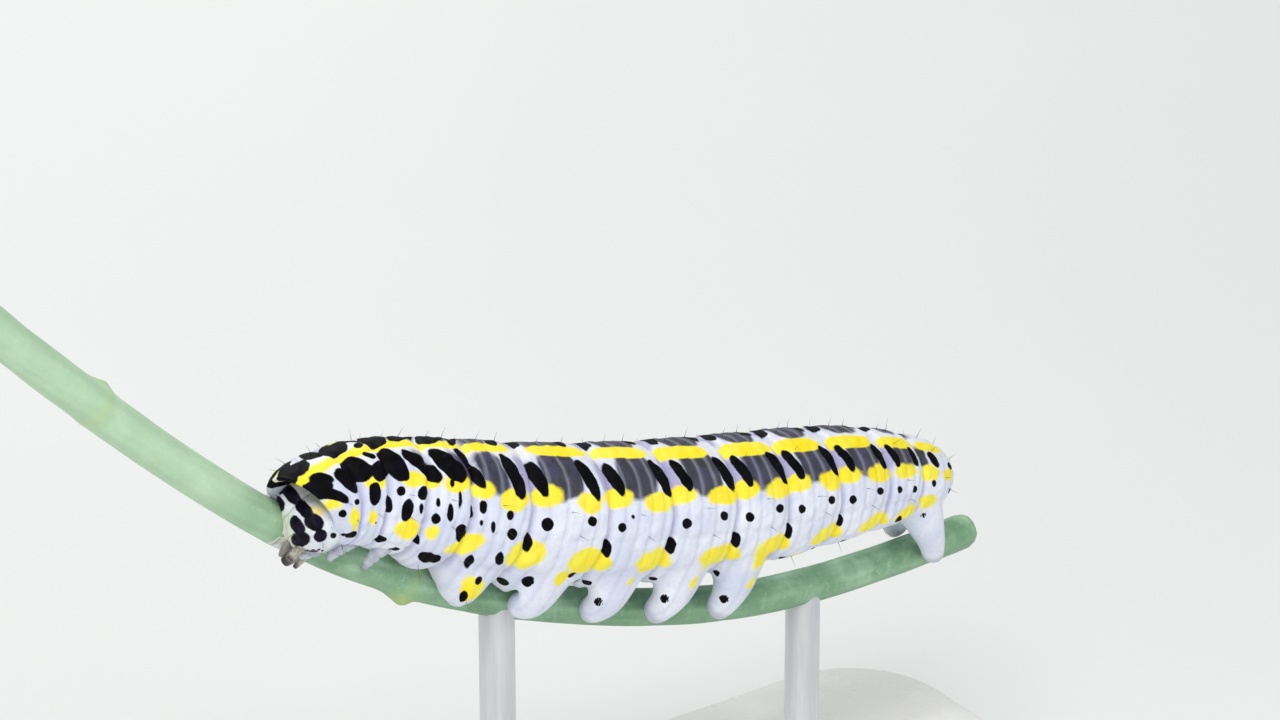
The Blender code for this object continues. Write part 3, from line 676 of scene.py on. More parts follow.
leg_reach = np.zeros(S.shape)
sole = np.zeros(S.shape)
for number in (5, 6, 7, 8):
    for sign in (1.0, -1.0):
        s = station(number, 0.52)
        theta = below(s)[4] - sign * math.radians(36.0)
        tip, up, left = grip(s, sign, 74.0, 0.36)
        middle = 0.5 * (flank(s, sign, 34.0, 0.30) + tip) + sign * left * 0.22
        P, reach = draw_out(P, s, theta, middle, tip, 1.22, 0.60, 0.30)
        leg_reach = np.maximum(leg_reach, reach)
for sign in (1.0, -1.0):
    s = station(12, 0.42)
    theta = below(s)[4] - sign * math.radians(40.0)
    tip, up, left = grip(station(12, 0.80), sign, 70.0, 0.36)
    middle = 0.5 * (flank(station(12, 0.6), sign, 34.0, 0.30) + tip) + sign * left * 0.30
    P, reach = draw_out(P, s, theta, middle, tip, 0.98, 0.54, 0.26)
    leg_reach = np.maximum(leg_reach, reach)

# soften where the legs leave the trunk
soft = np.clip(leg_reach * 6.0, 0.0, 1.0)
grown = soft.copy()
for _ in range(5):
    grown = np.maximum.reduce([grown, np.roll(grown, 1, 0), np.roll(grown, -1, 0), np.roll(grown, 1, 1), np.roll(grown, -1, 1)])
for _ in range(7):
    mean = 0.25 * (np.roll(P, 1, 0) + np.roll(P, -1, 0) + np.roll(P, 1, 1) + np.roll(P, -1, 1))
    weight = (grown * 0.6)[..., None]
    weight[0], weight[-1] = 0.0, 0.0
    P = P * (1.0 - weight) + mean * weight
P = clear_of_stem(P)

black = np.where(leg_reach > 0.02, -1.0, black)
yellow = np.where(leg_reach > 0.02, np.maximum(yellow - 1.5 * leg_reach, -1.0), yellow)


def spot_in_space(number, u, angle, radius, sign):
    i = int(round(station(number, u) / STEP_S))
    j = int(round((sign * math.radians(angle) + math.pi) / (2.0 * math.pi) * SIDES - 0.5)) % SIDES
    return radius - np.linalg.norm(P - P[i, j], axis=-1)


for sign in (1.0, -1.0):
    for row in LEG_SPOTS:
        black = np.maximum(black, spot_in_space(*row, sign))
    for row in LEG_YELLOWS:
        yellow = np.maximum(yellow, spot_in_space(*row, sign))

# front lip that rolls in under the collar, and the rounded tail end
front, rear = P[0], P[-1]
front_mid, front_way = front.mean(0), np.array(body.at(0.0)[1])
inward = front_mid - front
inward /= np.linalg.norm(inward, axis=1, keepdims=True)
lip = []
for a in np.linspace(0.25, math.pi, 7):
    lip.append(front + inward * 0.12 * (1.0 - math.cos(a)) - front_way * 0.12 * math.sin(a))
for a in (0.25, 0.55, 0.9):
    lip.append(front + inward * (0.24 + 0.25 * a) + front_way * a)
rear_mid, rear_way = rear.mean(0), np.array(body.at(BODY_LENGTH)[1])
cap = []
for a in np.linspace(0.2, 1.35, 6):
    cap.append(rear_mid + (rear - rear_mid) * math.cos(a) + rear_way * 0.22 * math.sin(a))
rings = np.concatenate([np.array(lip[::-1]), P, np.array(cap)], 0)


def stack(values, first=None, last=None):
    a = np.repeat(values[:1] if first is None else np.full((1, SIDES), first), len(lip), 0)
    b = np.repeat(values[-1:] if last is None else np.full((1, SIDES), last), len(cap), 0)
    return np.concatenate([a, values, b], 0)


skin = put("skin", *tube(rings))
attribute(skin, "black", stack(black))
attribute(skin, "yellow", stack(yellow))
attribute(skin, "stripe", stack(stripe))
attribute(skin, "smoky", stack(smoky))
attribute(skin, "lilac", stack(lilac))
attribute(skin, "annulet", stack(annulet))
attribute(skin, "crease_shade", stack(crease_shade))
attribute(skin, "pale_back", stack(pale_back))
attribute(skin, "belly", stack(np.clip((DEG - 128.0) / 30.0, 0.0, 1.0)))
attribute(skin, "leg", stack(leg_reach))
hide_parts(*[row[0] for row in SEGMENTS], *["proleg_%s_%d" % (side, n) for side in ("left", "right") for n in (3, 4, 5, 6)], "anal_proleg_left", "anal_proleg_right")
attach(skin, "root")

# an unwrap by s and theta, cut along the belly
uv = skin.data.uv_layers.new(name="OFBake")
total_rows = len(rings)
loops = np.zeros(len(skin.data.loops), int)
skin.data.loops.foreach_get("vertex_index", loops)
row_of, col_of = loops // SIDES, loops % SIDES
extra = loops >= total_rows * SIDES
u_values = (col_of + 0.5) / SIDES
v_values = row_of / (total_rows - 1.0)
sizes = np.zeros(len(skin.data.polygons), int)
starts = np.zeros(len(skin.data.polygons), int)
skin.data.polygons.foreach_get("loop_total", sizes)
skin.data.polygons.foreach_get("loop_start", starts)
which = np.repeat(np.arange(len(sizes)), sizes)
top = np.maximum.reduceat(np.where(extra, -1, u_values), starts)[which]
low = np.minimum.reduceat(np.where(extra, 2, u_values), starts)[which]
wrapped = (top - low > 0.5) & (u_values < 0.5) & ~extra
u_values = np.where(wrapped, u_values + 1.0, u_values)
u_values = np.where(extra, 0.5 * (np.where(top - low > 0.5, 1.0, low) + np.where(top - low > 0.5, 1.0, top)), u_values)
v_values = np.where(extra, np.where(loops == total_rows * SIDES, -0.002, 1.002), v_values)
coords = np.stack([0.01 + 0.98 * u_values / (1.0 + 1.0 / SIDES), 0.01 + 0.98 * np.clip(v_values, 0.0, 1.0)], -1)
uv.data.foreach_set("uv", coords.astype(np.float32).ravel())

m = Mat("skin_finish")
wobble = m.math("MULTIPLY", m.math("SUBTRACT", m.noise(2600.0, 3.0), 0.5), 0.075)
wobble = m.math("ADD", wobble, m.math("MULTIPLY", m.math("SUBTRACT", m.noise(1150.0, 2.0), 0.5), 0.15))
broad = m.math("SUBTRACT", m.noise(700.0, 3.0), 0.5)
black_fac = m.ramp(m.math("ADD", m.attr("black"), wobble), -0.012, 0.022)
yellow_edge = m.math("ADD", m.attr("yellow"), m.math("MULTIPLY", broad, 0.46))
yellow_edge = m.math("ADD", yellow_edge, m.math("MULTIPLY", m.math("SUBTRACT", m.noise(2300.0, 3.0), 0.5), 0.24))
yellow_fac = m.ramp(yellow_edge, -0.11, 0.05)
stripe_edge = m.math("ADD", m.attr("stripe"), m.math("MULTIPLY", broad, 0.14))
stripe_fac = m.ramp(stripe_edge, -0.04, 0.05)
smoky_fac = m.ramp(m.math("ADD", m.attr("smoky"), m.math("MULTIPLY", broad, 0.45)), -0.10, 0.10)
smoky_fac = m.math("SUBTRACT", smoky_fac, m.math("MULTIPLY", m.attr("annulet"), 0.26), clamp=True)
lilac_fac = m.ramp(m.math("ADD", m.attr("lilac"), m.math("MULTIPLY", broad, 0.35)), -0.08, 0.12)
ground = m.mix(m.ramp(m.noise(420.0, 5.0), 0.35, 0.68), srgb(214, 219, 238), srgb(236, 238, 248))
ground = m.mix(m.math("MULTIPLY", m.ramp(m.noise(5200.0, 2.0), 0.50, 0.72), 0.22), ground, srgb(190, 194, 220))
ground = m.mix(m.math("MULTIPLY", m.attr("belly"), 0.55), ground, srgb(196, 204, 208))
# painted shade: the creases are tinted a darker lilac-grey
ground = m.mix(m.math("MULTIPLY", m.attr("crease_shade"), 0.50), ground, srgb(158, 156, 192))
ground = m.mix(m.math("MULTIPLY", m.attr("pale_back"), 0.9), ground, srgb(236, 236, 226))
ground = m.mix(m.math("MULTIPLY", lilac_fac, 0.85), ground, srgb(166, 160, 200))
ground = m.mix(m.math("MULTIPLY", smoky_fac, 0.95), ground, m.mix(m.ramp(m.noise(1500.0, 4.0), 0.40, 0.66), srgb(10, 8, 28), srgb(46, 40, 76)))
lemon = m.mix(m.ramp(m.noise(900.0, 4.0), 0.35, 0.70), srgb(255, 232, 6), srgb(252, 240, 66))
colour = m.mix(m.math("MULTIPLY", yellow_fac, 0.97), ground, lemon)
colour = m.mix(m.math("MULTIPLY", stripe_fac, 0.97), colour, lemon)
ink = m.mix(m.ramp(m.noise(1800.0, 3.0), 0.40, 0.70), srgb(2, 2, 6), srgb(10, 9, 20))
colour = m.mix(black_fac, colour, ink)
foot = m.ramp(m.attr("leg"), 0.72, 0.95)
colour = m.mix(m.math("MULTIPLY", foot, 0.6), colour, srgb(176, 172, 190))
rough = m.math("ADD", m.math("MULTIPLY", m.noise(1900.0, 3.0), 0.22), 0.36)
rough = m.math("ADD", rough, m.math("MULTIPLY", black_fac, 0.14))
m.link(m.math("SUBTRACT", 0.32, m.math("MULTIPLY", black_fac, 0.24)), m.shader.inputs["Specular IOR Level"])
height = m.math("ADD", m.math("MULTIPLY", m.noise(3600.0, 5.0), 0.6), m.math("MULTIPLY", m.noise(12500.0, 2.0), 0.35))
skin.data.materials.append(m.finish(colour, rough, m.bump(height, 0.34, 0.00004), sub=0.08, radius=0.0003))

# --------------------------------------------------------------------- head
ROUND, ROWS = ((260, 150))
lon = 2.0 * math.pi * np.arange(ROUND) / ROUND - math.pi
lat = np.radians(np.linspace(-89.0, 89.0, ROWS))
LA, LO = np.meshgrid(lat, lon, indexing="ij")
H = head_point(LO, LA)
east = np.sin(LO) * np.cos(LA)
face_side = np.cos(LO) * np.cos(LA)
rise = np.sin(LA)
# lobes meet in a sharp suture that forks round the frons
apex = 0.42
fork = np.where(rise < apex, np.abs(np.abs(east) - 0.42 * np.clip((apex - rise) / 1.05, 0.0, 1.0)), np.abs(east))
suture = np.exp(-((fork / 0.020) ** 2)) * np.clip((face_side + 0.35 * (rise > apex)) * 4.0, 0.0, 1.0) * (rise > -0.62)
frons = ((rise < apex) & (np.abs(east) < 0.42 * np.clip((apex - rise) / 1.05, 0.0, 1.0)) & (face_side > 0)).astype(float)
radial = H - HEAD_AT
radial /= np.linalg.norm(radial, axis=-1, keepdims=True)
dent = -0.055 * suture - 0.035 * frons
for q in range(10):
    fa, fb, ph = RNG.integers(6, 26), RNG.uniform(8.0, 30.0), RNG.uniform(0, 6.28)
    dent += 0.0022 * np.sin(fa * LO + fb * LA + ph)
H = H + radial * dent[..., None]
H = clear_of_stem(H, 0.025)
HEAD_SPOTS = (  # longitude, latitude, half length, half width, slant; mirrored
    (24, 49, 0.62, 0.26, -14), (52, 36, 0.42, 0.33, -24), (24, 20, 0.43, 0.31, -21), (35, -1, 0.50, 0.33, 54),
    (66, 16, 0.29, 0.27, 68), (91, 14, 0.17, 0.11, -25), (62, -22, 0.22, 0.15, 30),
)


def head_field(rows):
    best = np.full(LO.shape, -1.0)
    for a0, b0, a, b, slant in rows:
        for sign in (1.0, -1.0):
            d0 = head_point(math.radians(sign * a0), math.radians(b0))
            e = head_point(math.radians(sign * a0 + 0.5 * sign), math.radians(b0)) - d0
            n = head_point(math.radians(sign * a0), math.radians(b0 + 0.5)) - d0
            e /= np.linalg.norm(e)
            n -= e * np.dot(n, e)
            n /= np.linalg.norm(n)
            q = H - d0
            x, y = q @ e, q @ n
            c, k = math.cos(math.radians(slant)), math.sin(math.radians(slant))
            level = ((np.abs(x * c + y * k) / a) ** 2.2 + (np.abs(-x * k + y * c) / b) ** 2.2 + 1e-9) ** (1 / 2.2)
            far = np.linalg.norm(q, axis=-1) > 1.3
            best = np.maximum(best, np.where(far, -1.0, (1.0 - level) * b))
    return best


head_black = head_field(HEAD_SPOTS)
head_yellow = head_field(((58, 53, 0.26, 0.17, -14),))
cream = np.clip((face_side - 0.62) / 0.3, 0.0, 1.0) * np.clip((0.55 - rise) / 0.3, 0.0, 1.0)
head = put("head_capsule", *tube(H))
attribute(head, "black", head_black)
attribute(head, "yellow", head_yellow)
attribute(head, "cream", cream)
attribute(head, "suture", suture)
# painted shade: 'crown' marks the top of the head, which sits in under the collar
attribute(head, "crown", np.clip((rise - 0.80) / 0.16, 0.0, 1.0))
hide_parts("head")
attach(head, "root")
m = Mat("head_finish")
wobble = m.math("MULTIPLY", m.math("SUBTRACT", m.noise(3200.0, 4.0), 0.5), 0.11)
black_fac = m.ramp(m.math("ADD", m.attr("black"), wobble), -0.02, 0.03)
base = m.mix(m.ramp(m.noise(1500.0, 4.0), 0.35, 0.68), srgb(212, 216, 226), srgb(236, 238, 244))
base = m.mix(m.math("MULTIPLY", m.attr("cream"), 0.75), base, srgb(208, 214, 182))
# painted shade: the crown is greyed as if shaded by the collar
base = m.mix(m.math("MULTIPLY", m.attr("crown"), 0.30), base, srgb(150, 148, 166))
base = m.mix(m.math("MULTIPLY", m.ramp(m.math("ADD", m.attr("yellow"), wobble), -0.08, 0.10), 0.85), base, srgb(244, 218, 84))
base = m.mix(m.math("MULTIPLY", m.attr("suture"), 0.40), base, srgb(96, 88, 104))
base = m.mix(black_fac, base, m.mix(m.ramp(m.noise(2600.0, 3.0), 0.42, 0.64), srgb(6, 4, 16), srgb(22, 15, 40)))
m.link(m.math("SUBTRACT", 0.40, m.math("MULTIPLY", black_fac, 0.30)), m.shader.inputs["Specular IOR Level"])
height = m.math("ADD", m.noise(5200.0, 4.0), m.math("MULTIPLY", m.noise(15000.0, 2.0), 0.4))
head.data.materials.append(m.finish(base, 0.36, m.bump(height, 0.28, 0.00003), coat=0.03, sub=0.06, radius=0.0002, coat_rough=0.2))


# ---------------------------------------------- feelers, jaws, lip and palps
def hard_finish(name, pale, dark, tip, rough=0.30):
    m = Mat(name)
    tone = m.mix(m.ramp(m.noise(1800.0, 4.0), 0.36, 0.66), pale, dark)
    tone = m.mix(m.attr("tip"), tone, tip)
    height = m.math("ADD", m.noise(5200.0, 4.0), m.math("MULTIPLY", m.noise(14000.0, 2.0), 0.5))
    return m.finish(tone, rough, m.bump(height, 0.3, 0.00003), coat=0.25, coat_rough=0.15)


MOUTH = hard_finish("mouth_finish", srgb(136, 130, 126), srgb(96, 88, 86), srgb(40, 31, 30))
FEELER = hard_finish("feeler_finish", srgb(188, 186, 176), srgb(142, 136, 126), srgb(70, 58, 48))
LEG = hard_finish("leg_finish", srgb(196, 200, 210), srgb(158, 162, 176), srgb(70, 60, 62))
EYE = hard_finish("stemmata_finish", srgb(70, 60, 62), srgb(48, 40, 44), srgb(30, 24, 26), 0.08)


def limb_piece(name, points, profile, node, finish, rows=44, sides=30, flat=1.0, tip_from=0.75, gap=0.03):
    rings = limb_rings(points, profile, rows, sides, flat)
    rings = clear_of_stem(rings, gap)
    obj = put(name, *tube(rings))
    t = np.linspace(0.0, 1.0, rows)[:, None] * np.ones((1, sides))
    attribute(obj, "tip", np.clip((t - tip_from) / 0.15, 0.0, 1.0))
    obj.data.materials.append(finish)
    if node:
        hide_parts(node)
    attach(obj, "root")
    return obj


def jointed(radii, joints, pinch=0.16, width=0.035, end=0.06):
    """Girth of a limb whose pieces narrow where they meet."""
    knots = np.linspace(0.0, 1.0, len(radii))

    def at(t):
        r = float(np.interp(t, knots, radii))
        for j in joints:
            r *= 1.0 - pinch * math.exp(-(((t - j) / width) ** 2))
        if t > 1.0 - end:
            r *= math.sqrt(max(0.02, 1.0 - ((t - 1.0 + end) / end) ** 2))
        return r
    return at


FEELERS = {
    "left": ((0.84, 0.60, -0.46), (1.02, 1.10, -0.62), (1.04, 1.48, -0.94)),
    "right": ((-1.35, 0.50, -0.30), (-1.85, 0.85, -0.30), (-2.05, 1.25, -0.45)),
}
JAWS = {
    "left": ((0.42, 0.45, -0.85), (0.52, 0.82, -1.38), (0.34, 1.10, -1.80)),
    "right": ((-1.05, 0.35, -0.70), (-1.75, 0.65, -1.20), (-1.55, 1.05, -1.75)),
}
for name in ("left", "right"):
    limb_piece(
        "feeler_" + name, [head_frame(*p) for p in FEELERS[name]],
        jointed([0.27, 0.22, 0.14], (0.42, 0.66, 0.86), 0.22, 0.03), "antenna_" + name, FEELER,
    )
    limb_piece(
        "jaw_" + name, [head_frame(*p) for p in JAWS[name]],
        jointed([0.48, 0.42, 0.26], (), 0.0), "mandible_" + name, MOUTH, tip_from=0.62, flat=0.8,
    )
LIP_X = -0.05
limb_piece("upper_lip", [head_frame(LIP_X + 0.30, 0.95, -0.72), head_frame(LIP_X + 0.34, 1.18, -1.05), head_frame(LIP_X + 0.30, 1.22, -1.38)],
           jointed([0.34, 0.36, 0.24], ()), None, MOUTH, flat=0.5, tip_from=1.2)
limb_piece("palp_left", [head_frame(0.60, 0.20, -1.15), head_frame(0.72, 0.50, -1.62), head_frame(0.62, 0.78, -1.98)],
           jointed([0.20, 0.16, 0.09], (0.45, 0.72), 0.25, 0.03), None, FEELER)
limb_piece("labium", [head_frame(0.25, 0.05, -1.10), head_frame(0.28, 0.38, -1.60), head_frame(0.20, 0.66, -1.86)],
           jointed([0.36, 0.30, 0.16], (0.6,), 0.15), None, MOUTH, tip_from=0.8)

# simple eyes: six beads in an arc low on each side of the head
verts, faces = [], []
for sign in (1.0, -1.0):
    for k, (a0, b0, size) in enumerate(((46, -30, 0.060), (52, -21, 0.066), (60, -15, 0.066), (69, -13, 0.064), (77, -18, 0.060), (66, -31, 0.056))):
        at = head_point(math.radians(sign * a0), math.radians(b0))
        out = at - HEAD_AT
        out /= np.linalg.norm(out)
        side_way = np.cross(out, head_up)
        side_way /= np.linalg.norm(side_way)
        other = np.cross(out, side_way)
        rings = []
        for q in np.linspace(0.05, 0.5 * math.pi + 0.5, 9):
            c = 2.0 * math.pi * np.arange(18) / 18
            rings.append(at + out * size * 0.75 * math.cos(q) + size * math.sin(q) * (np.cos(c)[:, None] * side_way + np.sin(c)[:, None] * other))
        v, f = tube(np.array(rings))
        faces += [tuple(i + len(verts) for i in face) for face in f]
        verts += v.tolist()
eyes = put("stemmata", verts, faces)
attribute(eyes, "tip", np.zeros(len(verts)))
eyes.data.materials.append(EYE)
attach(eyes, "root")

# --------------------------------------------------------------------- legs
for number in (0, 1, 2):
    for name, sign in (("left", 1.0), ("right", -1.0)):
        if sign > 0:
            s = station(number, (0.88, 0.66, 0.62)[number])
            turn = (96.0, 88.0, 84.0)[number]
            root = flank(s, sign, (54.0, 46.0, 44.0)[number], -0.30)
            knee, _, left = grip(s, sign, turn - 24.0, 0.86)
            tip, _, _ = grip(s + (0.14, 0.25, 0.15)[number], sign, turn, 0.42)
        else:
            s = station(number, (0.88, 0.66, 0.62)[number])
            turn = (112.0, 92.0, 88.0)[number]
            root = flank(s, sign, (58.0, 46.0, 44.0)[number], -0.30)
            knee, _, left = grip(s, sign, turn - 26.0, 1.00)
            tip, _, _ = grip(s + (0.15, -0.2, -0.2)[number], sign, turn, 0.38)
        limb_piece(
            "true_leg_%s_%d" % (name, number + 1), [root, knee + sign * 0.15 * left, tip],
            jointed([0.36, 0.26, 0.13], (0.38, 0.60, 0.82), 0.24, 0.03), "leg_%s_%d" % (name, number + 1), LEG,
            tip_from=0.86,
        )

# --------------------------------------------------------------- fine hairs
HAIR_PLACES = ((0.30, 17), (0.74, 26), (0.45, 58), (0.62, 80), (0.50, 134))
verts, faces, patch = [], [], []


def hair(root, way, bend, length, thick, place):
    way = way / np.linalg.norm(way)
    one = np.cross(way, np.array([0.2, 0.9, 0.3]))
    one /= np.linalg.norm(one)
    two = np.cross(way, one)
    c = 2.0 * math.pi * np.arange(5) / 5
    rings = []
    for t in (0.0, 0.3, 0.6, 0.85, 1.0):
        mid = root + way * length * t + bend * length * 0.22 * t * t
        rings.append(mid + thick * (1.0 - 0.88 * t) * (np.cos(c)[:, None] * one + np.sin(c)[:, None] * two))
    v, f = tube(np.array(rings))
    base_index = len(verts)
    faces.extend([tuple(i + base_index for i in face) for face in f])
    verts.extend(v.tolist())
    patch.extend([(place[0] + 0.0015 * math.cos(q), place[1] + 0.0015 * math.sin(q)) for q in np.linspace(0, 6.28, len(v))])


for number, row in enumerate(SEGMENTS):
    for u, angle in HAIR_PLACES:
        for sign in (1.0, -1.0):
            s = station(number, u) + RNG.normal(0.0, 0.06)
            theta = sign * math.radians(angle + RNG.normal(0.0, 2.0))
            at = section(s, theta)
            mid, way = np.array(body.at(s)[0]), np.array(body.at(s)[1])
            out = at - mid
            out /= np.linalg.norm(out)
            lean = -0.25 if number < 2 else 0.18
            hair(at - out * 0.03, out + way * (lean + RNG.normal(0.0, 0.12)) + RNG.normal(0.0, 0.06, 3), way * lean * 2.0 - np.array([0, 0, 0.5]),
                 RNG.uniform(0.34, 0.60) * (1.15 if number in (0, 12) else 1.0), 0.013,
                 (0.01 + 0.98 * (theta + math.pi) / (2 * math.pi), 0.01 + 0.98 * s / BODY_LENGTH))
for a0, b0 in ((18, 62), (40, 52), (62, 40), (30, 30), (50, 10), (24, 5), (72, 2), (40, -18), (88, 28)):
    for sign in (1.0, -1.0):
        at = head_point(math.radians(sign * a0), math.radians(b0))
        out = (at - HEAD_AT) / np.linalg.norm(at - HEAD_AT)
        hair(at - out * 0.03, out - head_along * 0.25, -head_along * 0.4, RNG.uniform(0.34, 0.56), 0.014, (0.02 + a0 / 1000.0, 0.02 + (b0 + 30) / 1000.0))
hairs = put("hairs", verts, faces)
layer = hairs.data.uv_layers.new(name="OFBake")
loops = np.zeros(len(hairs.data.loops), int)
hairs.data.loops.foreach_get("vertex_index", loops)
layer.data.foreach_set("uv", np.array(patch, np.float32)[loops].ravel())
m = Mat("hair_finish")
tone = m.mix(m.noise(3000.0, 2.0), srgb(14, 11, 14), srgb(52, 40, 38))
hairs.data.materials.append(m.finish(tone, 0.35))
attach(hairs, "root")

# --------------------------------------------------------------------- stem
stem_s = np.arange(0.0, STEM_LENGTH + 1e-6, 0.16)
stem_s[-1] = STEM_LENGTH
turn = 2.0 * math.pi * np.arange(88) / 88
SS, TT = np.meshgrid(stem_s, turn, indexing="ij")
point, along, dorsal, side = stem.at(SS)
radius = stem_radius(SS) * (1.0 + 0.016 * np.cos(5.0 * TT + 0.2 * SS) + 0.006 * np.cos(11.0 * TT - 0.4 * SS))
scar = np.zeros(SS.shape)
for place, angle, high, width in STEM_NODES:
    bump = np.exp(-(((SS - place) / width) ** 2)) * np.maximum(0.0, np.cos(TT - angle)) ** 6
    collar = np.exp(-(((SS - place - 0.1) / 0.24) ** 2))
    dish = np.exp(-(((SS - place + 0.22) / 0.20) ** 2)) * np.maximum(0.0, np.cos(TT - angle)) ** 26
    radius = radius + high * bump + 0.03 * collar - 0.12 * dish
    scar = np.maximum(scar, np.maximum(bump, 0.35 * collar))
for q in range(7):
    fs, ft, ph = RNG.uniform(0.4, 2.2), RNG.integers(2, 15), RNG.uniform(0, 6.28)
    radius = radius + 0.0035 * np.sin(fs * SS + ft * TT + ph)
ends = np.minimum(SS, STEM_LENGTH - SS)
radius = radius * (1.0 - 0.06 * np.exp(-ends / 0.05))
rings = point + radius[..., None] * (np.cos(TT)[..., None] * dorsal + np.sin(TT)[..., None] * side)
# the cut ends: a rim, a shallow dish and a pith
first, last = rings[0], rings[-1]
way_first, way_last = np.array(stem.at(0.0)[1]), np.array(stem.at(STEM_LENGTH)[1])
start, stop = [], []
for scale, sink in ((0.97, 0.0), (0.90, 0.02), (0.72, 0.05), (0.45, 0.07), (0.38, 0.13), (0.15, 0.16)):
    start.append(first.mean(0) + (first - first.mean(0)) * scale + way_first * sink)
    stop.append(last.mean(0) + (last - last.mean(0)) * scale - way_last * sink)
all_rings = np.concatenate([np.array(start[::-1]), rings, np.array(stop)], 0)
perch = put("stem_surface", *tube(all_rings))
zeros = np.zeros((6, 88))
attribute(perch, "scar", np.concatenate([zeros, scar, zeros], 0))
attribute(perch, "cut", np.concatenate([zeros + np.array([1.0, 1.0, 0.9, 0.6, 0.6, 0.3])[:, None], np.zeros(SS.shape), zeros + np.array([0.3, 0.6, 0.6, 0.9, 1.0, 1.0])[:, None]], 0))
rib = 0.5 + 0.5 * np.cos(5.0 * SS * 0.04 + 10.0 * TT)
attribute(perch, "rib", np.concatenate([zeros, rib, zeros], 0))
# painted shadow: 'under' marks the stem's underside from s = 17 mm on, beneath the larva
attribute(perch, "under", np.concatenate([zeros, np.clip(-np.cos(TT), 0.0, 1.0) * np.clip((SS - 17.0) / 6.0, 0.0, 1.0), zeros], 0))
# painted light: 'front' marks the first 19 mm of the stem, the lit part
attribute(perch, "front", np.concatenate([zeros + 1.0, np.clip((19.0 - SS) / 5.0, 0.0, 1.0), zeros], 0))
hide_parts("perch_stem")
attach(perch, "root")
m = Mat("stem_finish")
bloom = m.ramp(m.noise(520.0, 6.0, 0.62), 0.36, 0.70)
green = m.mix(bloom, srgb(120, 164, 124), srgb(172, 208, 174))
green = m.mix(m.math("MULTIPLY", m.attr("rib"), 0.20), green, srgb(104, 148, 104))
green = m.mix(m.math("MULTIPLY", m.ramp(m.noise(4200.0, 3.0), 0.58, 0.72), 0.30), green, srgb(196, 222, 200))
# painted light: the lit front part of the stem is mixed to a paler green
green = m.mix(m.math("MULTIPLY", m.attr("front"), 0.66), green, srgb(194, 222, 188))
# painted shadow: the underside is mixed to a darker green
green = m.mix(m.math("MULTIPLY", m.attr("under"), 0.55), green, srgb(84, 128, 92))
green = m.mix(m.math("MULTIPLY", m.attr("scar"), 0.70), green, srgb(186, 204, 110))
green = m.mix(m.attr("cut"), green, m.mix(m.noise(2400.0, 3.0), srgb(214, 222, 172), srgb(176, 196, 130)))
height = m.math("ADD", m.noise(1600.0, 5.0), m.math("MULTIPLY", m.noise(9000.0, 3.0), 0.4))
perch.data.materials.append(m.finish(green, m.math("ADD", m.math("MULTIPLY", bloom, 0.22), 0.40), m.bump(height, 0.35, 0.00005), sub=0.05, radius=0.0003))


# -------------------------------------------------------------------- stand
def slab_rings(size, corner):
    profile = [(0.25, 0.0), (0.06, 0.06), (0.0, 0.22)]
    profile += [(0.0, 0.5 * size[2])]
    for a in np.linspace(0.0, 0.5 * math.pi, 9):
        profile.append((0.6 * (1.0 - math.cos(a)), size[2] - 0.6 + 0.6 * math.sin(a)))
    profile += [(1.4, size[2]), (3.2, size[2]), (4.6, size[2])]
    rings = []
    for inset, z in profile:
        ring = []
        for q in range(4):
            cx = (0.5 * size[0] - corner) * (1, -1, -1, 1)[q]
            cy = (0.5 * size[1] - corner) * (1, 1, -1, -1)[q]
            for k in range(20):
                t = 0.5 * math.pi * (q + k / 19.0)
                ring.append((cx + (corner - inset) * math.cos(t), cy + (corner - inset) * math.sin(t), z))
        rings.append(ring)
    return np.array(rings)


m = Mat("acrylic_finish")
tone = m.mix(m.ramp(m.noise(240.0, 5.0), 0.35, 0.70), srgb(226, 226, 223), srgb(238, 238, 235))
tone = m.mix(m.math("MULTIPLY", m.ramp(m.noise(5200.0, 2.0), 0.60, 0.70), 0.10), tone, srgb(200, 200, 198))
rough = m.math("ADD", m.math("MULTIPLY", m.noise(900.0, 5.0), 0.18), 0.20)
ACRYLIC = m.finish(tone, rough, m.bump(m.noise(2600.0, 4.0), 0.08, 0.00003), coat=0.2)
m = Mat("rod_finish")
tone = m.mix(m.ramp(m.noise(160.0, 6.0, 0.6, 0.0, (9.0, 9.0, 0.6)), 0.35, 0.68), srgb(196, 197, 200), srgb(216, 217, 219))
rough = m.math("ADD", m.math("MULTIPLY", m.noise(700.0, 4.0, 0.6, 0.0, (6.0, 6.0, 0.5)), 0.22), 0.20)
ROD = m.finish(tone, rough, m.bump(m.noise(900.0, 4.0, 0.6, 0.0, (8.0, 8.0, 0.4)), 0.10, 0.00003), coat=0.2)

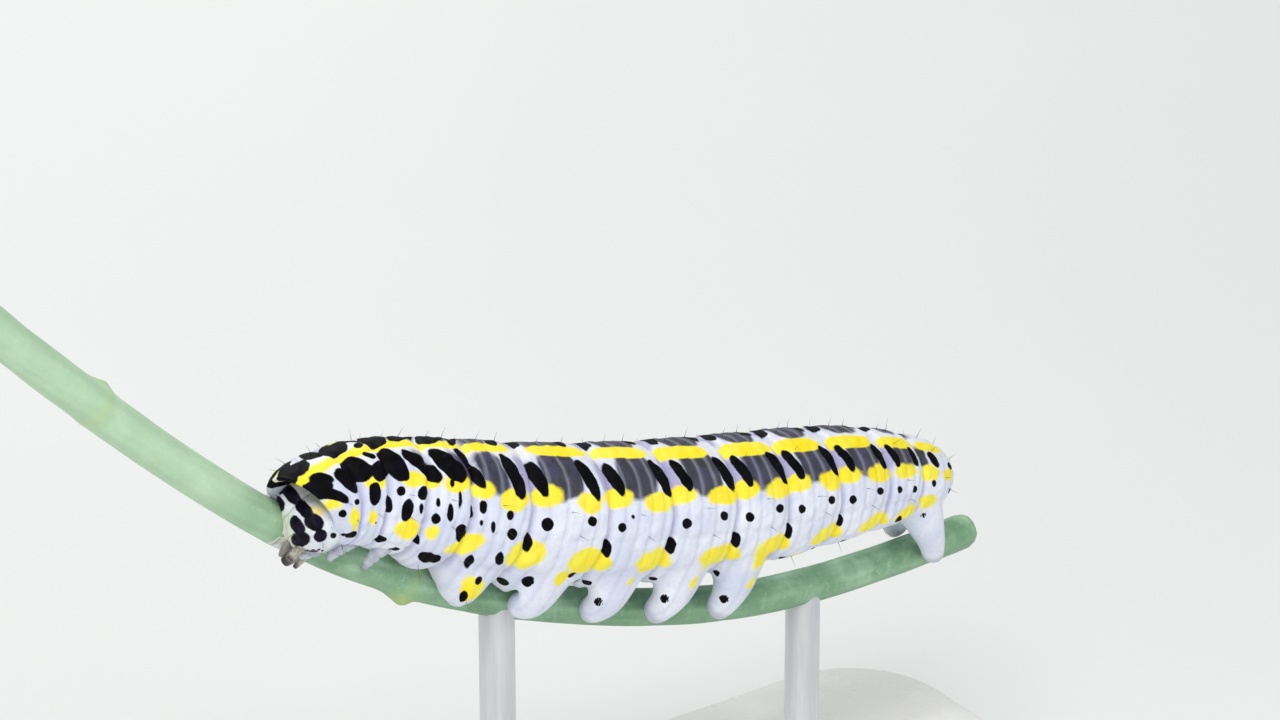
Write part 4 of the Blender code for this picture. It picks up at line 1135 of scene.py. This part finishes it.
plate = put("base_plate", *tube(slab_rings(BASE, BASE_ROUND)))
plate.data.set_sharp_from_angle(angle=math.radians(50))
plate.data.materials.append(ACRYLIC)
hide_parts("stand_base")
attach(plate, "root")
for name, place in ROD_AT:
    top = np.array(stem.at(place)[0])
    reach = top[2] - 0.02
    low = BASE[2]
    profile = [(ROD_RADIUS + 0.55, low), (ROD_RADIUS + 0.55, low + 0.38), (ROD_RADIUS + 0.51, low + 0.52), (ROD_RADIUS + 0.42, low + 0.60),
               (ROD_RADIUS + 0.30, low + 0.66), (ROD_RADIUS + 0.12, low + 0.78), (ROD_RADIUS + 0.03, low + 0.94), (ROD_RADIUS, low + 1.1)]
    profile += [(ROD_RADIUS, z) for z in np.linspace(low + 1.6, reach - 1.2, 8)]
    profile += [(ROD_RADIUS, z) for z in np.linspace(reach - 1.1, reach, 14)]
    c = 2.0 * math.pi * np.arange(64) / 64
    rings = np.array([np.stack([top[0] + r * np.cos(c), top[1] + r * np.sin(c), np.full(64, z)], -1) for r, z in profile])
    # the top is cupped to the underside of the stem
    axis_way = np.array(stem.at(place)[1])
    for i in range(len(profile) - 14, len(profile)):
        for j in range(64):
            p = rings[i, j]
            k = np.argmin(((STEM_LINE[:, :2] - p[:2]) ** 2).sum(-1) + 4.0 * np.abs(STEM_SPOTS - place) * 0.0)
            mid = STEM_LINE[k]
            across_way = np.cross(axis_way, np.array([0.0, 0.0, 1.0]))
            across_way /= np.linalg.norm(across_way)
            off = float(np.dot(p - top, across_way))
            base_r = stem_radius(place) - 0.02
            under = mid[2] - math.sqrt(max(0.0, base_r ** 2 - off ** 2)) / max(0.6, math.sqrt(1.0 - axis_way[2] ** 2))
            rings[i, j, 2] = min(p[2], under)
    piece = put(name.replace("stand_", "") + "_turned", *tube(rings))
    piece.data.set_sharp_from_angle(angle=math.radians(50))
    piece.data.materials.append(ROD)
    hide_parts(name)
    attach(piece, "root")

# -------------------------------------------------------- floor and lights
bpy.ops.mesh.primitive_plane_add(size=3.0, location=(0.0, 0.0, 0.0))
floor = bpy.context.object
floor.name = "floor"
m = Mat("floor_finish")
tone = m.mix(m.ramp(m.noise(6.0, 4.0), 0.35, 0.7), srgb(226, 228, 226), srgb(232, 234, 232))
floor.data.materials.append(m.finish(tone, 0.7, m.bump(m.noise(300.0, 3.0), 0.05, 0.0002)))

bpy.context.scene.view_settings.view_transform = "Standard"
world = bpy.data.worlds.new("studio")
bpy.context.scene.world = world
world.use_nodes = True
back = world.node_tree.nodes["Background"]
back.inputs["Color"].default_value = (0.93, 0.96, 1.0, 1.0)
back.inputs["Strength"].default_value = 0.36


def lamp(name, at, size, power, colour, aim=(-0.004, 0.0, 0.022)):
    light = bpy.data.lights.new(name, "AREA")
    light.shape = "DISK"
    light.size = size
    light.energy = power
    light.color = colour
    obj = bpy.data.objects.new(name, light)
    obj.location = at
    obj.rotation_euler = (Vector(at) - Vector(aim)).to_track_quat("Z", "Y").to_euler()
    bpy.context.scene.collection.objects.link(obj)


lamp("key", (-0.10, -0.12, 0.26), 0.16, 0.50, (1.0, 0.985, 0.96))
lamp("fill", (0.18, -0.20, 0.12), 0.22, 0.16, (0.92, 0.96, 1.0))
lamp("face", (-0.20, -0.12, 0.035), 0.14, 0.10, (0.97, 0.98, 1.0))
lamp("rim", (0.05, 0.22, 0.20), 0.14, 0.36, (1.0, 1.0, 0.98))

# ------------------------------------------------------------------- camera
AZIMUTH, ELEVATION, DISTANCE = math.radians(-35.0), math.radians(26.0), 240.0
R = Vector((math.cos(AZIMUTH), math.sin(AZIMUTH), 0.0))
F = Vector((-math.sin(AZIMUTH) * math.cos(ELEVATION), math.cos(AZIMUTH) * math.cos(ELEVATION), -math.sin(ELEVATION)))
UP = R.cross(F)
lens = bpy.data.cameras.new("view")
lens.sensor_width = 36.0
lens.lens = 168.75
lens.clip_start = 0.01
lens.clip_end = 5.0
camera = bpy.data.objects.new("view", lens)
PICTURE_POINT = (391.0 - 640.0, 360.0 - 495.0)     # where the anchor falls, from the picture's middle
spot = Vector(ANCHOR) - R * (PICTURE_POINT[0] / 6000.0 * DISTANCE) - UP * (PICTURE_POINT[1] / 6000.0 * DISTANCE) - F * DISTANCE
camera.location = spot * MM
camera.rotation_euler = Matrix((R, UP, -F)).transposed().to_euler()
bpy.context.scene.collection.objects.link(camera)
bpy.context.scene.camera = camera
